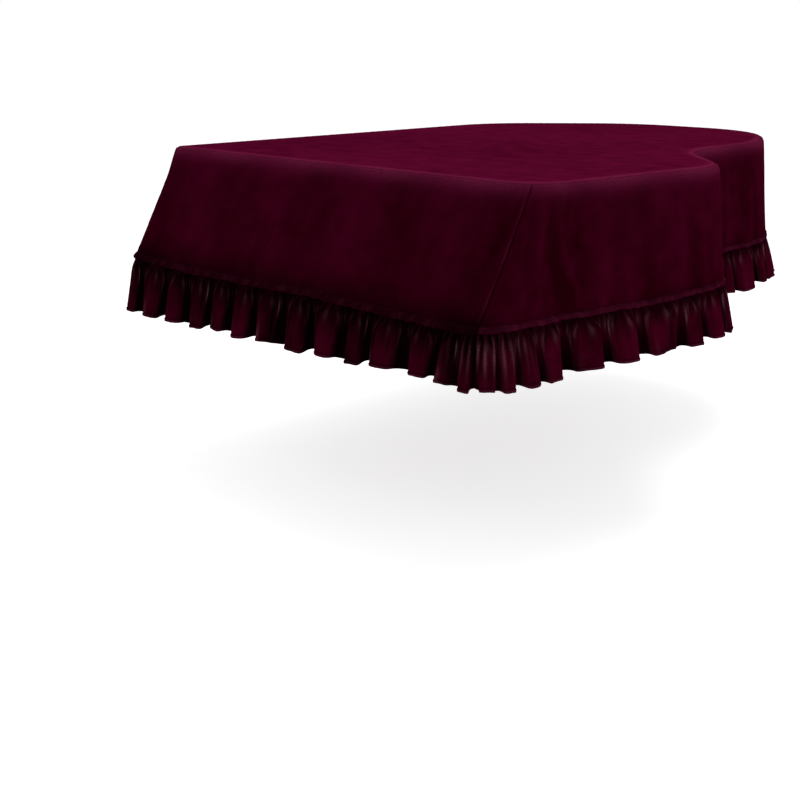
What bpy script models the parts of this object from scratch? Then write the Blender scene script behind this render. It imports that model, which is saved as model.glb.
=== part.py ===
"""Fitted velvet cover of a grand piano, with a gathered ruffle sewn under its hem.

Metres, +Z up, +X towards the piano's treble side and +Y towards its tail. The origin lies on the
underside of the top panel, over the middle of the piano's lid, which holds the cover up. The
piano itself is left out, so the cover is a hollow shell in the shape in which it hangs.

The cover is cut and sewn from a top panel, three side pieces that are sewn to it on the lid's
rounded edge (front drop over the keyboard, bentside drop round the treble side and the tail, spine
drop) and three gathered strips that make one ruffle round the hem.
"""

import math
from bisect import bisect_right
from dataclasses import dataclass
from itertools import accumulate

import bmesh
import bpy
from mathutils import Vector

# Plan of the lid: across is measured from the straight spine, along from the lid's front edge.
CASE_WIDTH = 1.515
CASE_LENGTH = 1.920
PLAN_CENTRE = Vector((CASE_WIDTH / 2, CASE_LENGTH / 2))

# Cloth.
CLOTH_THICKNESS = 0.0020
PIECE_GAP = 0.0003
TOP_SEAM_GAP = 0.0009

# Walls.
RIM_RADIUS = 0.023
FLAT_EDGE_WIDTH = 0.020
TOP_SEAM_ANGLE = math.radians(28)
WALL_DROP = 0.335
SIDE_SPLAY = 0.031
SPINE_SPLAY = 0.010
FRONT_REACH = 0.190
NEAR_HEM_RADIUS = 0.085
FAR_HEM_RADIUS = 0.100
LIP_FLARE = 0.004
LIP_HEIGHT = 0.021
FRONT_BELLY = 0.006

# Whole waves round the hem, with their heights.
HEM_WAVES = ((8, 0.0030), (18, 0.0018), (31, 0.0010))

# Ruffle.
RUFFLE_FLARE = 0.023
PLEAT_PITCH = 0.118
PLEAT_DEPTH = 0.042
HEADER_DEPTH = 0.006
HEADER_OVERLAP = 0.009
HEADER_CLEARANCE = 0.0009
HEADER_FOLD_SHARE = 0.08
CORNER_CROWDING = 0.45
CORNER_CROWDING_REACH = 0.13

# Mesh steps. An odd count of corner steps puts a corner's seam in the middle of a facet.
ARC_STEPS = 6
CORNER_STEPS = 7
FAN_SPACING = 0.045
STATION_SPACING = 0.085
TOP_EDGE_STEPS = 3
WALL_EDGE_ROWS = (0.0, 0.15, 0.55, 1.0)
WALL_ROWS = (0.32, 0.66, 1.0)
FOLD_STATIONS = (-1.3, -0.65, 0.0, 0.65, 1.3)
FOLD_START = 4.0
FOLD_UPRIGHT = 0.88
LEAST_STEP = 0.008

Colour = tuple[float, float, float, float]

VELVET = (0.066, 0.0015, 0.018, 1.0)
VELVET_SHADE = (0.034, 0.0008, 0.008, 1.0)
VELVET_ROUGHNESS = 0.85


@dataclass(frozen=True)
class Corner:
    """A corner of the lid's plan before rounding."""

    name: str
    across: float
    along: float
    radius: float


@dataclass(frozen=True)
class Fold:
    """A hanging fold of the walls, at distances from the near corner seam at the rim and hem."""

    rim_distance: float
    hem_distance: float
    width: float
    rim_depth: float
    hem_depth: float


@dataclass(frozen=True)
class Station:
    """One upright section of the walls: where it leaves the rim and where it ends at the hem."""

    rim: Vector
    hem: Vector
    rim_outward: Vector
    hem_outward: Vector
    distance: float = 0.0
    rim_fold: float = 0.0
    hem_fold: float = 0.0
    hem_wave: float = 0.0

    def towards(self, after: "Station", share: float) -> "Station":
        """The section at a share of the way to the next one, on the flat facet between them."""
        return Station(
            self.rim.lerp(after.rim, share),
            self.hem.lerp(after.hem, share),
            self.rim_outward.lerp(after.rim_outward, share).normalized(),
            self.hem_outward.lerp(after.hem_outward, share).normalized(),
            self.distance + (after.distance - self.distance) * share,
            self.rim_fold + (after.rim_fold - self.rim_fold) * share,
            self.hem_fold + (after.hem_fold - self.hem_fold) * share,
            self.hem_wave + (after.hem_wave - self.hem_wave) * share,
        )

    def dressed(self, distance: float, girth: float) -> "Station":
        """The same section with the folds and the hem's wave of its distance."""
        folds = (upright_depth(distance, "rim_depth"), upright_depth(distance, "hem_depth"))
        plain = (self.rim, self.hem, self.rim_outward, self.hem_outward)
        return Station(*plain, distance, *folds, hem_wave(distance / girth))


LID_CORNERS = (
    Corner("spine front", 0.0, 0.0, 0.043),
    Corner("treble front", CASE_WIDTH, 0.0, 0.133),
    Corner("bulge", 1.572, 0.743, 0.23),
    Corner("waist", 1.244, 1.056, 0.38),
    Corner("tail treble", 1.244, 1.487, 0.48),
    Corner("tail middle", 1.010, CASE_LENGTH, 0.43),
    Corner("tail bass", 0.425, CASE_LENGTH, 0.43),
    Corner("spine end", 0.0, 1.525, 0.40),
)
FRONT_CORNERS = (0, 1)
FAR_CORNER, NEAR_CORNER = FRONT_CORNERS
SPINE_END = 7
TAIL_SEAM_SETBACK = 0.06

# The near corner's seam lies this many facets before the corner's middle.
NEAR_SEAM_FACETS = 1

# Share of a front corner's turn at the rim that fans out over the straight parts of the hem.
FAN_SHARE = 0.28

# Positive distances run from the near corner towards the tail, negative ones along the front.
WALL_FOLDS = (
    Fold(-0.91, -0.91, 0.095, 0.001, 0.004),
    Fold(-0.42, -0.42, 0.076, 0.001, 0.005),
    Fold(-0.07, -0.07, 0.038, 0.001, 0.004),
    Fold(0.085, 0.293, 0.034, 0.003, 0.012),
    Fold(0.325, 0.345, 0.026, 0.001, 0.005),
    Fold(0.570, 0.600, 0.043, 0.001, 0.006),
    Fold(0.750, 0.790, 0.038, 0.003, 0.006),
    Fold(1.660, 1.660, 0.057, 0.001, 0.006),
    Fold(2.120, 2.120, 0.048, 0.001, 0.005),
)

# Widths of the ruffle's pleats in the photo: along the front, and on from the near corner seam.
FRONT_PLEATS = (
    0.096, 0.133, 0.108, 0.121, 0.086, 0.109, 0.133, 0.113, 0.126, 0.097, 0.129, 0.120, 0.064, 0.047
)
SIDE_PLEATS = (0.049, 0.055, 0.070, 0.109, 0.136, 0.138, 0.186, 0.071, 0.110)

# Shares of the mean pleat, repeated in turn over the rest of the ruffle.
PLEAT_WIDTHS = (1.16, 1.02, 0.92, 0.90, 1.08, 0.84, 1.20, 0.80, 1.04)
PLEAT_HEIGHTS = (1.0, 0.82, 1.1, 0.9, 1.05)
PLEAT_SWAYS = (0.004, -0.006, 0.002, 0.007, -0.004, -0.002, 0.005)
BOTTOM_WAVES = (0.0, 0.005, -0.003, 0.004, -0.004, 0.002)

# The ruffle's length below the hem, at distances from the near corner seam.
RUFFLE_LENGTHS = (
    (-1.55, 0.156),
    (-0.85, 0.139),
    (-0.20, 0.132),
    (0.50, 0.124),
    (1.50, 0.130),
    (4.40, 0.130),
    (5.15, 0.156),
)


@dataclass(frozen=True)
class PleatPoint:
    """A point across one pleat: its share of the pitch and how far it stands out."""

    share: float
    rise: float


PLEAT_SECTION = (
    PleatPoint(0.00, 0.00),
    PleatPoint(0.09, 0.22),
    PleatPoint(0.18, 0.80),
    PleatPoint(0.34, 1.00),
    PleatPoint(0.52, 0.93),
    PleatPoint(0.70, 1.00),
    PleatPoint(0.83, 0.76),
    PleatPoint(0.91, 0.20),
)


@dataclass(frozen=True)
class RuffleRow:
    """A level of the ruffle: its share of the length, of the flare and of the pleats' depth."""

    fall: float
    flare: float
    depth: float


RUFFLE_ROWS = (
    RuffleRow(0.34, 0.30, 0.55),
    RuffleRow(1.00, 1.00, 1.00),
)


def fold_depth(distance: float, share: float) -> float:
    """How far the folds draw the wall in, at a distance round it and a share of its fall."""
    slant = share / FOLD_UPRIGHT
    depth = 0.0
    for fold in WALL_FOLDS:
        centre = fold.rim_distance + (fold.hem_distance - fold.rim_distance) * slant
        profile = math.exp(-(((distance - centre) / fold.width) ** 2))
        depth += (fold.rim_depth + (fold.hem_depth - fold.rim_depth) * share) * profile
    return depth


def upright_depth(distance: float, size: str) -> float:
    """One of the folds' depths near the hem, where they hang upright, at a distance round it."""
    depth = 0.0
    for fold in WALL_FOLDS:
        depth += getattr(fold, size) * math.exp(-(((distance - fold.hem_distance) / fold.width) ** 2))
    return depth


def hem_wave(share: float) -> float:
    """How far the hem rises or falls from its mean level, at a share of its girth."""
    return sum(height * math.sin(math.tau * share * count) for count, height in HEM_WAVES)


@dataclass(frozen=True)
class Arc:
    """The arc that rounds a corner, from one outward direction to the next."""

    centre: Vector
    radius: float
    start: Vector
    sweep: float

    def outward(self, share: float) -> Vector:
        """Outward direction at a share of the arc."""
        angle = self.sweep * share
        return Vector(
            (
                self.start.x * math.cos(angle) - self.start.y * math.sin(angle),
                self.start.x * math.sin(angle) + self.start.y * math.cos(angle),
            )
        )

    def point(self, share: float) -> Vector:
        """Point at a share of the arc."""
        return self.centre + self.outward(share) * self.radius


def corner_arc(before: Vector, corner: Vector, after: Vector, radius: float) -> Arc:
    """The arc that rounds a corner; where the outline turns in, its radius is negative."""
    arriving = (corner - before).normalized()
    leaving = (after - corner).normalized()
    sweep = math.atan2(arriving.cross(leaving), arriving.dot(leaving))
    signed_radius = math.copysign(radius, sweep)
    start = Vector((arriving.y, -arriving.x))
    tangent_point = corner - arriving * (radius * math.tan(abs(sweep) / 2))
    return Arc(tangent_point - start * signed_radius, signed_radius, start, sweep)


class Walls:
    """The cover's walls as one closed run of stations, read at any distance along the hem."""

    def __init__(self) -> None:
        """Walk round the lid, then measure the hem from the near corner."""
        corners = [Vector((c.across, c.along)) - PLAN_CENTRE for c in LID_CORNERS]
        count = len(corners)
        self.arcs = []
        for i, corner in enumerate(LID_CORNERS):
            neighbours = corners[i - 1], corners[i], corners[(i + 1) % count]
            self.arcs.append(corner_arc(*neighbours, corner.radius))
        run = []
        self.corner_middles = {}
        starts = []
        for i in range(count):
            starts.append(len(run))
            run.extend(self.front_corner(i) if i in FRONT_CORNERS else self.plain_corner(i))
            run.extend(self.side(run[-1], self.arcs[(i + 1) % count].point(0.0)))
        steps = [(after.hem - before.hem).length for before, after in zip(run, run[1:] + run[:1])]
        travelled = [0.0, *accumulate(steps)]
        self.girth = travelled[-1]
        near = self.corner_distance(starts, NEAR_CORNER, travelled)
        self.far = self.corner_distance(starts, FAR_CORNER, travelled) - near
        self.tail = travelled[starts[SPINE_END] + ARC_STEPS] + TAIL_SEAM_SETBACK - near
        closed = run + run[:1]
        self.stations = [
            station.dressed(reached - near, self.girth) for station, reached in zip(closed, travelled)
        ]
        self.outline_stations = list(self.stations[:-1])
        self.distances = [station.distance for station in self.stations]
        self.add_fold_stations()

    def plain_corner(self, index: int) -> list[Station]:
        """Sections round a corner whose hem stands a little out from the lid."""
        arc = self.arcs[index]
        end_splay = SPINE_SPLAY if index == SPINE_END else SIDE_SPLAY
        stations = []
        for step in range(ARC_STEPS + 1):
            share = step / ARC_STEPS
            outward = arc.outward(share)
            splay = SIDE_SPLAY + (end_splay - SIDE_SPLAY) * share
            rim = arc.point(share)
            stations.append(Station(rim, rim + outward * splay, outward, outward))
        return stations

    def front_corner(self, index: int) -> list[Station]:
        """Sections round a front corner, which fan out to the hem's own corner."""
        near = index == NEAR_CORNER
        arc = self.arcs[index]
        reaches = (FRONT_REACH, SIDE_SPLAY) if near else (SPINE_SPLAY, FRONT_REACH)
        hem_radius = NEAR_HEM_RADIUS if near else FAR_HEM_RADIUS
        leaving = Vector((-arc.outward(1.0).y, arc.outward(1.0).x))
        overrun = leaving * max(0.0, hem_radius - arc.radius - reaches[0])
        start = arc.point(0.0) + arc.outward(0.0) * reaches[0]
        end = arc.point(1.0) + overrun + arc.outward(1.0) * reaches[1]
        hem_corner = start + arc.outward(1.0) * (end - start).dot(arc.outward(1.0))
        hem_arc = corner_arc(start, hem_corner, end, hem_radius)
        first_fan = self.fan(arc, 0.0, (start, hem_arc.point(0.0)))
        last_fan = self.fan(arc, 1.0, (hem_arc.point(1.0), end))
        first_turn = FAN_SHARE if first_fan else 0.0
        last_turn = 1 - FAN_SHARE if last_fan else 1.0
        stations = first_fan
        for step in range(CORNER_STEPS + 1):
            share = step / CORNER_STEPS
            turn = first_turn + (last_turn - first_turn) * share
            rim = arc.point(turn) + overrun * share**2
            stations.append(Station(rim, hem_arc.point(share), arc.outward(turn), hem_arc.outward(share)))
        seam_facets = CORNER_STEPS / 2 + (NEAR_SEAM_FACETS if near else 0)
        self.corner_middles[index] = len(stations) - 1 - seam_facets
        return stations + last_fan

    def fan(self, arc: Arc, square_turn: float, hem: tuple[Vector, Vector]) -> list[Station]:
        """Sections that turn with the rim's arc while the hem, square to one side, runs straight."""
        length = (hem[1] - hem[0]).length
        if length < LEAST_STEP:
            return []
        steps = max(1, round(length / FAN_SPACING))
        first_step = round(square_turn)
        stations = []
        for step in range(first_step, steps + first_step):
            share = step / steps
            turn = abs(square_turn - FAN_SHARE * abs(share - square_turn))
            place = (arc.point(turn), hem[0].lerp(hem[1], share), arc.outward(turn))
            stations.append(Station(*place, arc.outward(square_turn)))
        return stations

    def side(self, last: Station, end: Vector) -> list[Station]:
        """Sections along a straight side, between two corners."""
        steps = max(1, round((end - last.rim).length / STATION_SPACING))
        reach = last.hem - last.rim
        stations = []
        for step in range(1, steps):
            rim = last.rim.lerp(end, step / steps)
            stations.append(Station(rim, rim + reach, last.rim_outward, last.hem_outward))
        return stations

    def corner_distance(self, starts: list[int], index: int, travelled: list[float]) -> float:
        """Distance round the hem of a front corner's seam, which lies halfway across a facet."""
        first = starts[index] + int(self.corner_middles[index])
        return (travelled[first] + travelled[first + 1]) / 2

    def add_fold_stations(self) -> None:
        """Add stations across each fold, so that the walls' facets follow it."""
        added = []
        taken = list(self.distances)
        for fold in WALL_FOLDS:
            middle = (fold.rim_distance + fold.hem_distance) / 2
            for centre in (fold.hem_distance, middle, fold.rim_distance):
                for place in FOLD_STATIONS:
                    distance = centre + fold.width * place
                    if min(abs(distance - other) for other in taken) > LEAST_STEP:
                        added.append(self.at(distance).dressed(distance, self.girth))
                        taken.append(distance)
        self.stations = sorted(self.stations + added, key=lambda station: station.distance)
        self.distances = [station.distance for station in self.stations]

    def at(self, distance: float) -> Station:
        """The section of the walls at a distance along the hem, between two stations."""
        wrapped = (distance - self.distances[0]) % self.girth + self.distances[0]
        index = min(bisect_right(self.distances, wrapped), len(self.stations) - 1)
        before, after = self.stations[index - 1], self.stations[index]
        share = (wrapped - before.distance) / (after.distance - before.distance)
        return before.towards(after, share)

    def between(self, start: float, end: float) -> list[Station]:
        """Sections from one distance to another: both ends and every station between them."""
        inner = []
        for lap in (-self.girth, 0.0, self.girth):
            inner.extend(d + lap for d in self.distances[:-1] if start < d + lap < end)
        return [self.at(distance) for distance in (start, *sorted(inner), end)]


def lean(station: Station) -> float:
    """Angle by which the wall leans out from the upright."""
    reach = (station.hem - station.rim).length
    return math.atan2(reach, WALL_DROP)


def rim_point(station: Station, angle: float) -> Vector:
    """A point on the rounded rim, from its flat inner edge at angle 0 towards the wall."""
    inset = RIM_RADIUS * (1 - math.sin(angle))
    height = CLOTH_THICKNESS - RIM_RADIUS * (1 - math.cos(angle))
    plan = station.rim - station.rim_outward * inset
    return Vector((plan.x, plan.y, height))


def wall_start(station: Station) -> Vector:
    """The point where the rounded rim ends and the plain wall begins."""
    return rim_point(station, math.pi / 2 - lean(station))


def hem_height(station: Station) -> float:
    """Height of the hem, which rises and falls a little round the cover."""
    return -WALL_DROP + station.hem_wave


def wall_outset(station: Station, share: float) -> float:
    """How far the wall stands out from its plain surface, at a share of its fall."""
    if share < FOLD_UPRIGHT:
        fold = fold_depth(station.distance, share)
    else:
        fold = station.rim_fold + (station.hem_fold - station.rim_fold) * share
    lean_share = lean(station) / math.atan2(FRONT_REACH, WALL_DROP)
    belly = lean_share**4 * FRONT_BELLY * math.sin(math.pi * share)
    return -fold * min(1.0, FOLD_START * share) - belly


def wall_height(station: Station, share: float) -> float:
    """Height at a share of the way down the plain wall, from the rim to the hem's lip."""
    start = wall_start(station).z
    return start + (hem_height(station) + LIP_HEIGHT - start) * share


def wall_point(station: Station, height: float) -> Vector:
    """A point on the wall's outer face at a height below the rim."""
    start = wall_start(station)
    bottom = hem_height(station)
    share = (start.z - height) / (start.z - bottom)
    lip_share = max(0.0, (bottom + LIP_HEIGHT - height) / LIP_HEIGHT)
    outset = wall_outset(station, share) + LIP_FLARE * lip_share
    plan = Vector((start.x, start.y)).lerp(station.hem, share) + station.hem_outward * outset
    return Vector((plan.x, plan.y, height))


def velvet(name: str, colour: Colour) -> bpy.types.Material:
    """A matt burgundy velvet."""
    material = bpy.data.materials.new(name)
    material.use_nodes = True
    shader = material.node_tree.nodes["Principled BSDF"]
    shader.inputs["Base Color"].default_value = colour
    shader.inputs["Roughness"].default_value = VELVET_ROUGHNESS
    shader.inputs["Metallic"].default_value = 0.0
    return material


def sheet(
    name: str,
    rows: list[list[Vector]],
    ring: bool,
    colour: Colour,
    collection: bpy.types.Collection,
) -> None:
    """A sheet lofted through rows of points and thickened inwards; a ring's first row is filled."""
    mesh = bpy.data.meshes.new(name)
    grid = bmesh.new()
    lines = [[grid.verts.new(point) for point in row] for row in rows]
    for upper, lower in zip(lines, lines[1:]):
        columns = len(upper) if ring else len(upper) - 1
        for left in range(columns):
            right = (left + 1) % len(upper)
            grid.faces.new((upper[left], lower[left], lower[right], upper[right]))
    if ring:
        grid.faces.new(lines[0])
    grid.to_mesh(mesh)
    grid.free()
    mesh.shade_smooth()
    mesh.materials.append(velvet(f"{name} velvet", colour))
    piece = bpy.data.objects.new(name, mesh)
    collection.objects.link(piece)
    thickness = piece.modifiers.new("Cloth thickness", "SOLIDIFY")
    thickness.thickness = CLOTH_THICKNESS
    thickness.offset = -1.0
    thickness.use_even_offset = True


def top_panel(walls: Walls, collection: bpy.types.Collection) -> None:
    """The flat top, which ends at the seam on the rounded rim."""
    stations = walls.outline_stations
    inner_edge = []
    for station in stations:
        inward = station.rim_outward * FLAT_EDGE_WIDTH
        inner_edge.append(rim_point(station, 0.0) - Vector((inward.x, inward.y, 0.0)))
    rows = [inner_edge]
    for step in range(TOP_EDGE_STEPS + 1):
        angle = TOP_SEAM_ANGLE * step / TOP_EDGE_STEPS
        rows.append([rim_point(station, angle) for station in stations])
    sheet("top_panel", rows, True, VELVET, collection)


def drop(
    name: str, walls: Walls, span: tuple[float, float], collection: bpy.types.Collection
) -> None:
    """One side piece of the cover, from the seam on the rim down to the hem."""
    stations = walls.between(span[0] + PIECE_GAP / 2, span[1] - PIECE_GAP / 2)
    seam = TOP_SEAM_ANGLE + TOP_SEAM_GAP / RIM_RADIUS
    rows = []
    for share in WALL_EDGE_ROWS:
        rows.append([rim_point(s, seam + (math.pi / 2 - lean(s) - seam) * share) for s in stations])
    for share in WALL_ROWS:
        rows.append([wall_point(s, wall_height(s, share)) for s in stations])
    rows.append([wall_point(station, hem_height(station)) for station in stations])
    sheet(name, rows, False, VELVET_SHADE, collection)


@dataclass(frozen=True)
class Gather:
    """A point along the gathered strip, with the size of the pleat that it belongs to."""

    distance: float
    rise: float
    height: float
    sway: float
    bottom: float


def crowding(distance: float, corners: tuple[float, ...]) -> float:
    """Share of the mean pitch at a distance: the pleats crowd round the front corners."""
    nearest = min(abs(distance - corner) for corner in corners)
    return 1 - CORNER_CROWDING * math.exp(-((nearest / CORNER_CROWDING_REACH) ** 2))


def pleat_widths(walls: Walls, start: float, end: float, measured: tuple[float, ...]) -> list[float]:
    """Widths of a strip's pleats: the measured ones, then the pattern over the rest."""
    rest_start = start + sum(measured)
    if rest_start > end - PLEAT_PITCH:
        return [width * (end - start) / sum(measured) for width in measured]
    corners = (0.0, walls.far, walls.far + walls.girth)
    rest = []
    reached = rest_start
    while reached < end:
        factor = PLEAT_WIDTHS[len(rest) % len(PLEAT_WIDTHS)]
        rest.append(PLEAT_PITCH * factor * crowding(reached, corners))
        reached += rest[-1]
    return [*measured, *(width * (end - rest_start) / sum(rest) for width in rest)]


def gathers(walls: Walls, start: float, end: float, measured: tuple[float, ...]) -> list[Gather]:
    """Points of all the pleats from one distance along the hem to another."""
    widths = pleat_widths(walls, start, end, measured)
    points = []
    valley = start
    for number, width in enumerate(widths):
        height = PLEAT_HEIGHTS[number % len(PLEAT_HEIGHTS)] * min(1.0, width / PLEAT_PITCH + 0.25)
        sway = PLEAT_SWAYS[number % len(PLEAT_SWAYS)]
        bottom = BOTTOM_WAVES[number % len(BOTTOM_WAVES)]
        for point in PLEAT_SECTION:
            distance = valley + width * point.share
            points.append(Gather(distance, point.rise, height, sway * point.rise, bottom))
        valley += width
    points.append(Gather(end, 0.0, 1.0, 0.0, 0.0))
    return points


def header_setback(station: Station, rise: float) -> float:
    """How far the gathered strip stands in from the wall's outer face, freer behind a fold."""
    clearance = HEADER_CLEARANCE + HEADER_FOLD_SHARE * station.hem_fold
    return CLOTH_THICKNESS / math.cos(lean(station)) + clearance + HEADER_DEPTH * (1 - rise)


def header_point(station: Station, rise: float) -> Vector:
    """A point of the strip's gathered upper edge, sewn behind the hem."""
    wall = wall_point(station, hem_height(station) + HEADER_OVERLAP)
    plan = Vector((wall.x, wall.y)) - station.hem_outward * header_setback(station, rise)
    return Vector((plan.x, plan.y, wall.z))


def hem_level_point(station: Station, rise: float) -> Vector:
    """A point of the strip where it passes the hem's lower edge."""
    wall = wall_point(station, hem_height(station))
    plan = Vector((wall.x, wall.y)) - station.hem_outward * header_setback(station, rise)
    return Vector((plan.x, plan.y, wall.z - PIECE_GAP))


def ruffle_length(distance: float) -> float:
    """Length of the ruffle below the hem, longest at the far front corner."""
    for (start, before), (end, after) in zip(RUFFLE_LENGTHS, RUFFLE_LENGTHS[1:]):
        if distance <= end:
            share = max(0.0, (distance - start) / (end - start))
            return before + (after - before) * share
    return RUFFLE_LENGTHS[-1][1]


def ruffle_point(walls: Walls, gather: Gather, row: RuffleRow) -> Vector:
    """A point of the ruffle's open folds at one of its levels."""
    station = walls.at(gather.distance + gather.sway * row.fall)
    wall = wall_point(station, hem_height(station))
    relief = PLEAT_DEPTH * gather.height * (gather.rise - 0.5)
    outset = RUFFLE_FLARE * row.flare + relief * row.depth - CLOTH_THICKNESS
    length = ruffle_length(gather.distance) + gather.bottom
    plan = Vector((wall.x, wall.y)) + station.hem_outward * outset
    return Vector((plan.x, plan.y, wall.z - length * row.fall))


def ruffle(
    name: str,
    walls: Walls,
    span: tuple[float, float],
    pleats: tuple[float, ...],
    collection: bpy.types.Collection,
) -> None:
    """One gathered strip of the ruffle, hanging from behind the hem."""
    strip = gathers(walls, span[0] + PIECE_GAP / 2, span[1] - PIECE_GAP / 2, pleats)
    stations = [walls.at(gather.distance) for gather in strip]
    rows = [
        [header_point(station, gather.rise) for station, gather in zip(stations, strip)],
        [hem_level_point(station, gather.rise) for station, gather in zip(stations, strip)],
    ]
    rows.extend([ruffle_point(walls, gather, row) for gather in strip] for row in RUFFLE_ROWS)
    sheet(name, rows, False, VELVET_SHADE, collection)


def clear_scene() -> None:
    """Remove whatever the scene holds."""
    for item in list(bpy.data.objects):
        bpy.data.objects.remove(item)


def build() -> None:
    """Build the cover."""
    clear_scene()
    collection = bpy.data.collections.new("Grand piano cover")
    bpy.context.scene.collection.children.link(collection)
    walls = Walls()
    top_panel(walls, collection)
    spans = (
        ("front", (walls.far, 0.0), FRONT_PLEATS),
        ("bentside", (0.0, walls.tail), SIDE_PLEATS),
        ("spine", (walls.tail, walls.far + walls.girth), ()),
    )
    for name, span, pleats in spans:
        drop(f"{name}_drop", walls, span, collection)
        ruffle(f"{name}_ruffle", walls, span, pleats, collection)


build()
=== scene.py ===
"""Looks of a fitted velvet cover for a grand piano, with a gathered ruffle along its hem.

Metres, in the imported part's frame: +Z up, +X towards the treble side, +Y towards the tail, and the
origin under the top panel, over the middle of the lid. Each packed sheet is replaced by a finer one
on the same sizes: the top panel, the three drops and the three strips of the ruffle. Distances
round the cover run along the hem from the near corner's seam, positive towards the tail.
"""

import logging
import math
from dataclasses import dataclass, field
from enum import Enum

import bpy
import numpy as np
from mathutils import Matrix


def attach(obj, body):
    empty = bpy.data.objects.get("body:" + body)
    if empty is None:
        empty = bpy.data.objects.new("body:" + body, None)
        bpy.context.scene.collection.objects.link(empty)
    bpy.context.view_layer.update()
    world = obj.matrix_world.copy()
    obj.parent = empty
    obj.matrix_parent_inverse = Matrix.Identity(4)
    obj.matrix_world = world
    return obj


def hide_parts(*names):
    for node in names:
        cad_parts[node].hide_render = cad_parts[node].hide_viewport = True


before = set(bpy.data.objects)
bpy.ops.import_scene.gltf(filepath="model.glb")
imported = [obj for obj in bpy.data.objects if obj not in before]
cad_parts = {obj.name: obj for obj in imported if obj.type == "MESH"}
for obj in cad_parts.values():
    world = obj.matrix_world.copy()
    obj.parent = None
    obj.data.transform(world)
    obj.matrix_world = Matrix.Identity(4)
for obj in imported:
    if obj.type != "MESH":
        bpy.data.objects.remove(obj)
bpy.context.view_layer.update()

LOG = logging.getLogger("piano cover")
ROOT = "root"
GOLDEN = 0.6180339887
HEM_LINE = 0.93
# Strength of the paler rim: a painted highlight along its rounded edge, with some rub.
RIM_RUB_AND_HIGHLIGHT = 0.62
SEAM_SHADE = 0.35

Colour = tuple[float, float, float, float]
Array = np.ndarray


def unit(vectors: Array) -> Array:
    """Vectors brought to length 1."""
    return vectors / np.linalg.norm(vectors, axis=-1, keepdims=True)


def bell(values: Array, centre: float | Array, width: float | Array) -> Array:
    """A smooth hump of height 1 round a centre."""
    return np.exp(-(((values - centre) / width) ** 2))


def soft_step(values: Array, start: float, end: float) -> Array:
    """A smooth rise from 0 at start to 1 at end.

    Args:
        values: Where it is read.
        start: Where it leaves 0.
        end: Where it reaches 1.

    Returns:
        The shares.
    """
    share = np.clip((values - start) / (end - start), 0.0, 1.0)
    return share * share * (3 - 2 * share)


def pairs(x: Array, y: Array) -> Array:
    """Two arrays of coordinates as one array of points."""
    return np.stack([x, y], axis=-1)


@dataclass(frozen=True)
class Unevenness:
    """An irregular swell made of waves that run in many directions."""

    pitch: float
    height: float
    seed: float = 0.0
    waves: int = 11
    stretch: float = 1.0

    def at(self, u: Array, v: Array) -> Array:
        """Height of the swell at places on the cloth.

        Args:
            u: Places along the cloth, in metres.
            v: Places down the cloth, in metres, which the stretch draws out.

        Returns:
            Heights in metres, about as high as the swell's own height.
        """
        total = np.zeros(np.broadcast(u, v).shape)
        for wave in range(self.waves):
            turn = math.tau * ((wave + 1) * GOLDEN + self.seed * 0.37)
            rate = math.tau / self.pitch * (0.55 + 0.9 * ((wave * 0.7548 + self.seed * 0.21) % 1.0))
            phase = math.tau * ((wave * 0.5698 + self.seed * 0.73) % 1.0)
            total += np.sin(rate * (u * math.cos(turn) + v / self.stretch * math.sin(turn)) + phase)
        return total * self.height / math.sqrt(self.waves / 2)


@dataclass(frozen=True)
class PlanCorner:
    """A corner of the lid's plan before rounding: across from the spine, along from the front."""

    across: float
    along: float
    radius: float


@dataclass(frozen=True)
class Arc:
    """The arc that rounds a corner, from one outward direction to the next."""

    centre: Array
    radius: float
    start: Array
    sweep: float

    @classmethod
    def rounding(cls, before: Array, corner: Array, after: Array, radius: float) -> "Arc":
        """The arc that rounds a corner; where the outline turns in, its radius is negative.

        Args:
            before: The corner before it.
            corner: The corner that is rounded.
            after: The corner after it.
            radius: The rounding's radius.

        Returns:
            The arc.
        """
        arriving = unit(corner - before)
        leaving = unit(after - corner)
        turn = arriving[0] * leaving[1] - arriving[1] * leaving[0]
        sweep = math.atan2(turn, float(arriving @ leaving))
        signed = math.copysign(radius, sweep)
        start = np.array([arriving[1], -arriving[0]])
        tangent_point = corner - arriving * (radius * math.tan(abs(sweep) / 2))
        return cls(tangent_point - start * signed, signed, start, sweep)

    def outward(self, shares: Array) -> Array:
        """Outward directions at shares of the arc.

        Args:
            shares: Shares of the arc.

        Returns:
            Unit directions, one for each share.
        """
        angle = self.sweep * np.asarray(shares, float)
        cos, sin = np.cos(angle), np.sin(angle)
        x, y = self.start
        return pairs(x * cos - y * sin, x * sin + y * cos)

    def points(self, shares: Array) -> Array:
        """Points at shares of the arc."""
        return self.centre + self.outward(shares) * self.radius


@dataclass(frozen=True)
class Sections:
    """Upright sections of the walls, from the rim down to the hem, at distances round the cover."""

    rim: Array
    hem: Array
    rim_outward: Array
    hem_outward: Array
    distance: Array

    @property
    def reach(self) -> Array:
        """How far the hem stands out from the rim."""
        return np.linalg.norm(self.hem - self.rim, axis=-1)


@dataclass(frozen=True)
class Fold:
    """A soft trough that runs down the walls, or a ridge where its depths are negative."""

    rim_distance: float
    hem_distance: float
    width: float
    rim_depth: float
    hem_depth: float
    start: float = -1.0
    end: float = 2.0

    def depth(self, distance: Array, share: Array) -> Array:
        """How far the fold draws the wall in, at distances and shares of its fall.

        Args:
            distance: Distances along the hem.
            share: Shares of the wall's fall.

        Returns:
            Depths in metres.
        """
        centre = self.rim_distance + (self.hem_distance - self.rim_distance) * share
        size = self.rim_depth + (self.hem_depth - self.rim_depth) * share
        fade = soft_step(share, self.start, self.start + 0.16)
        fade = fade * (1 - soft_step(share, self.end - 0.2, self.end))
        return size * fade * bell(distance, centre, self.width)


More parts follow.
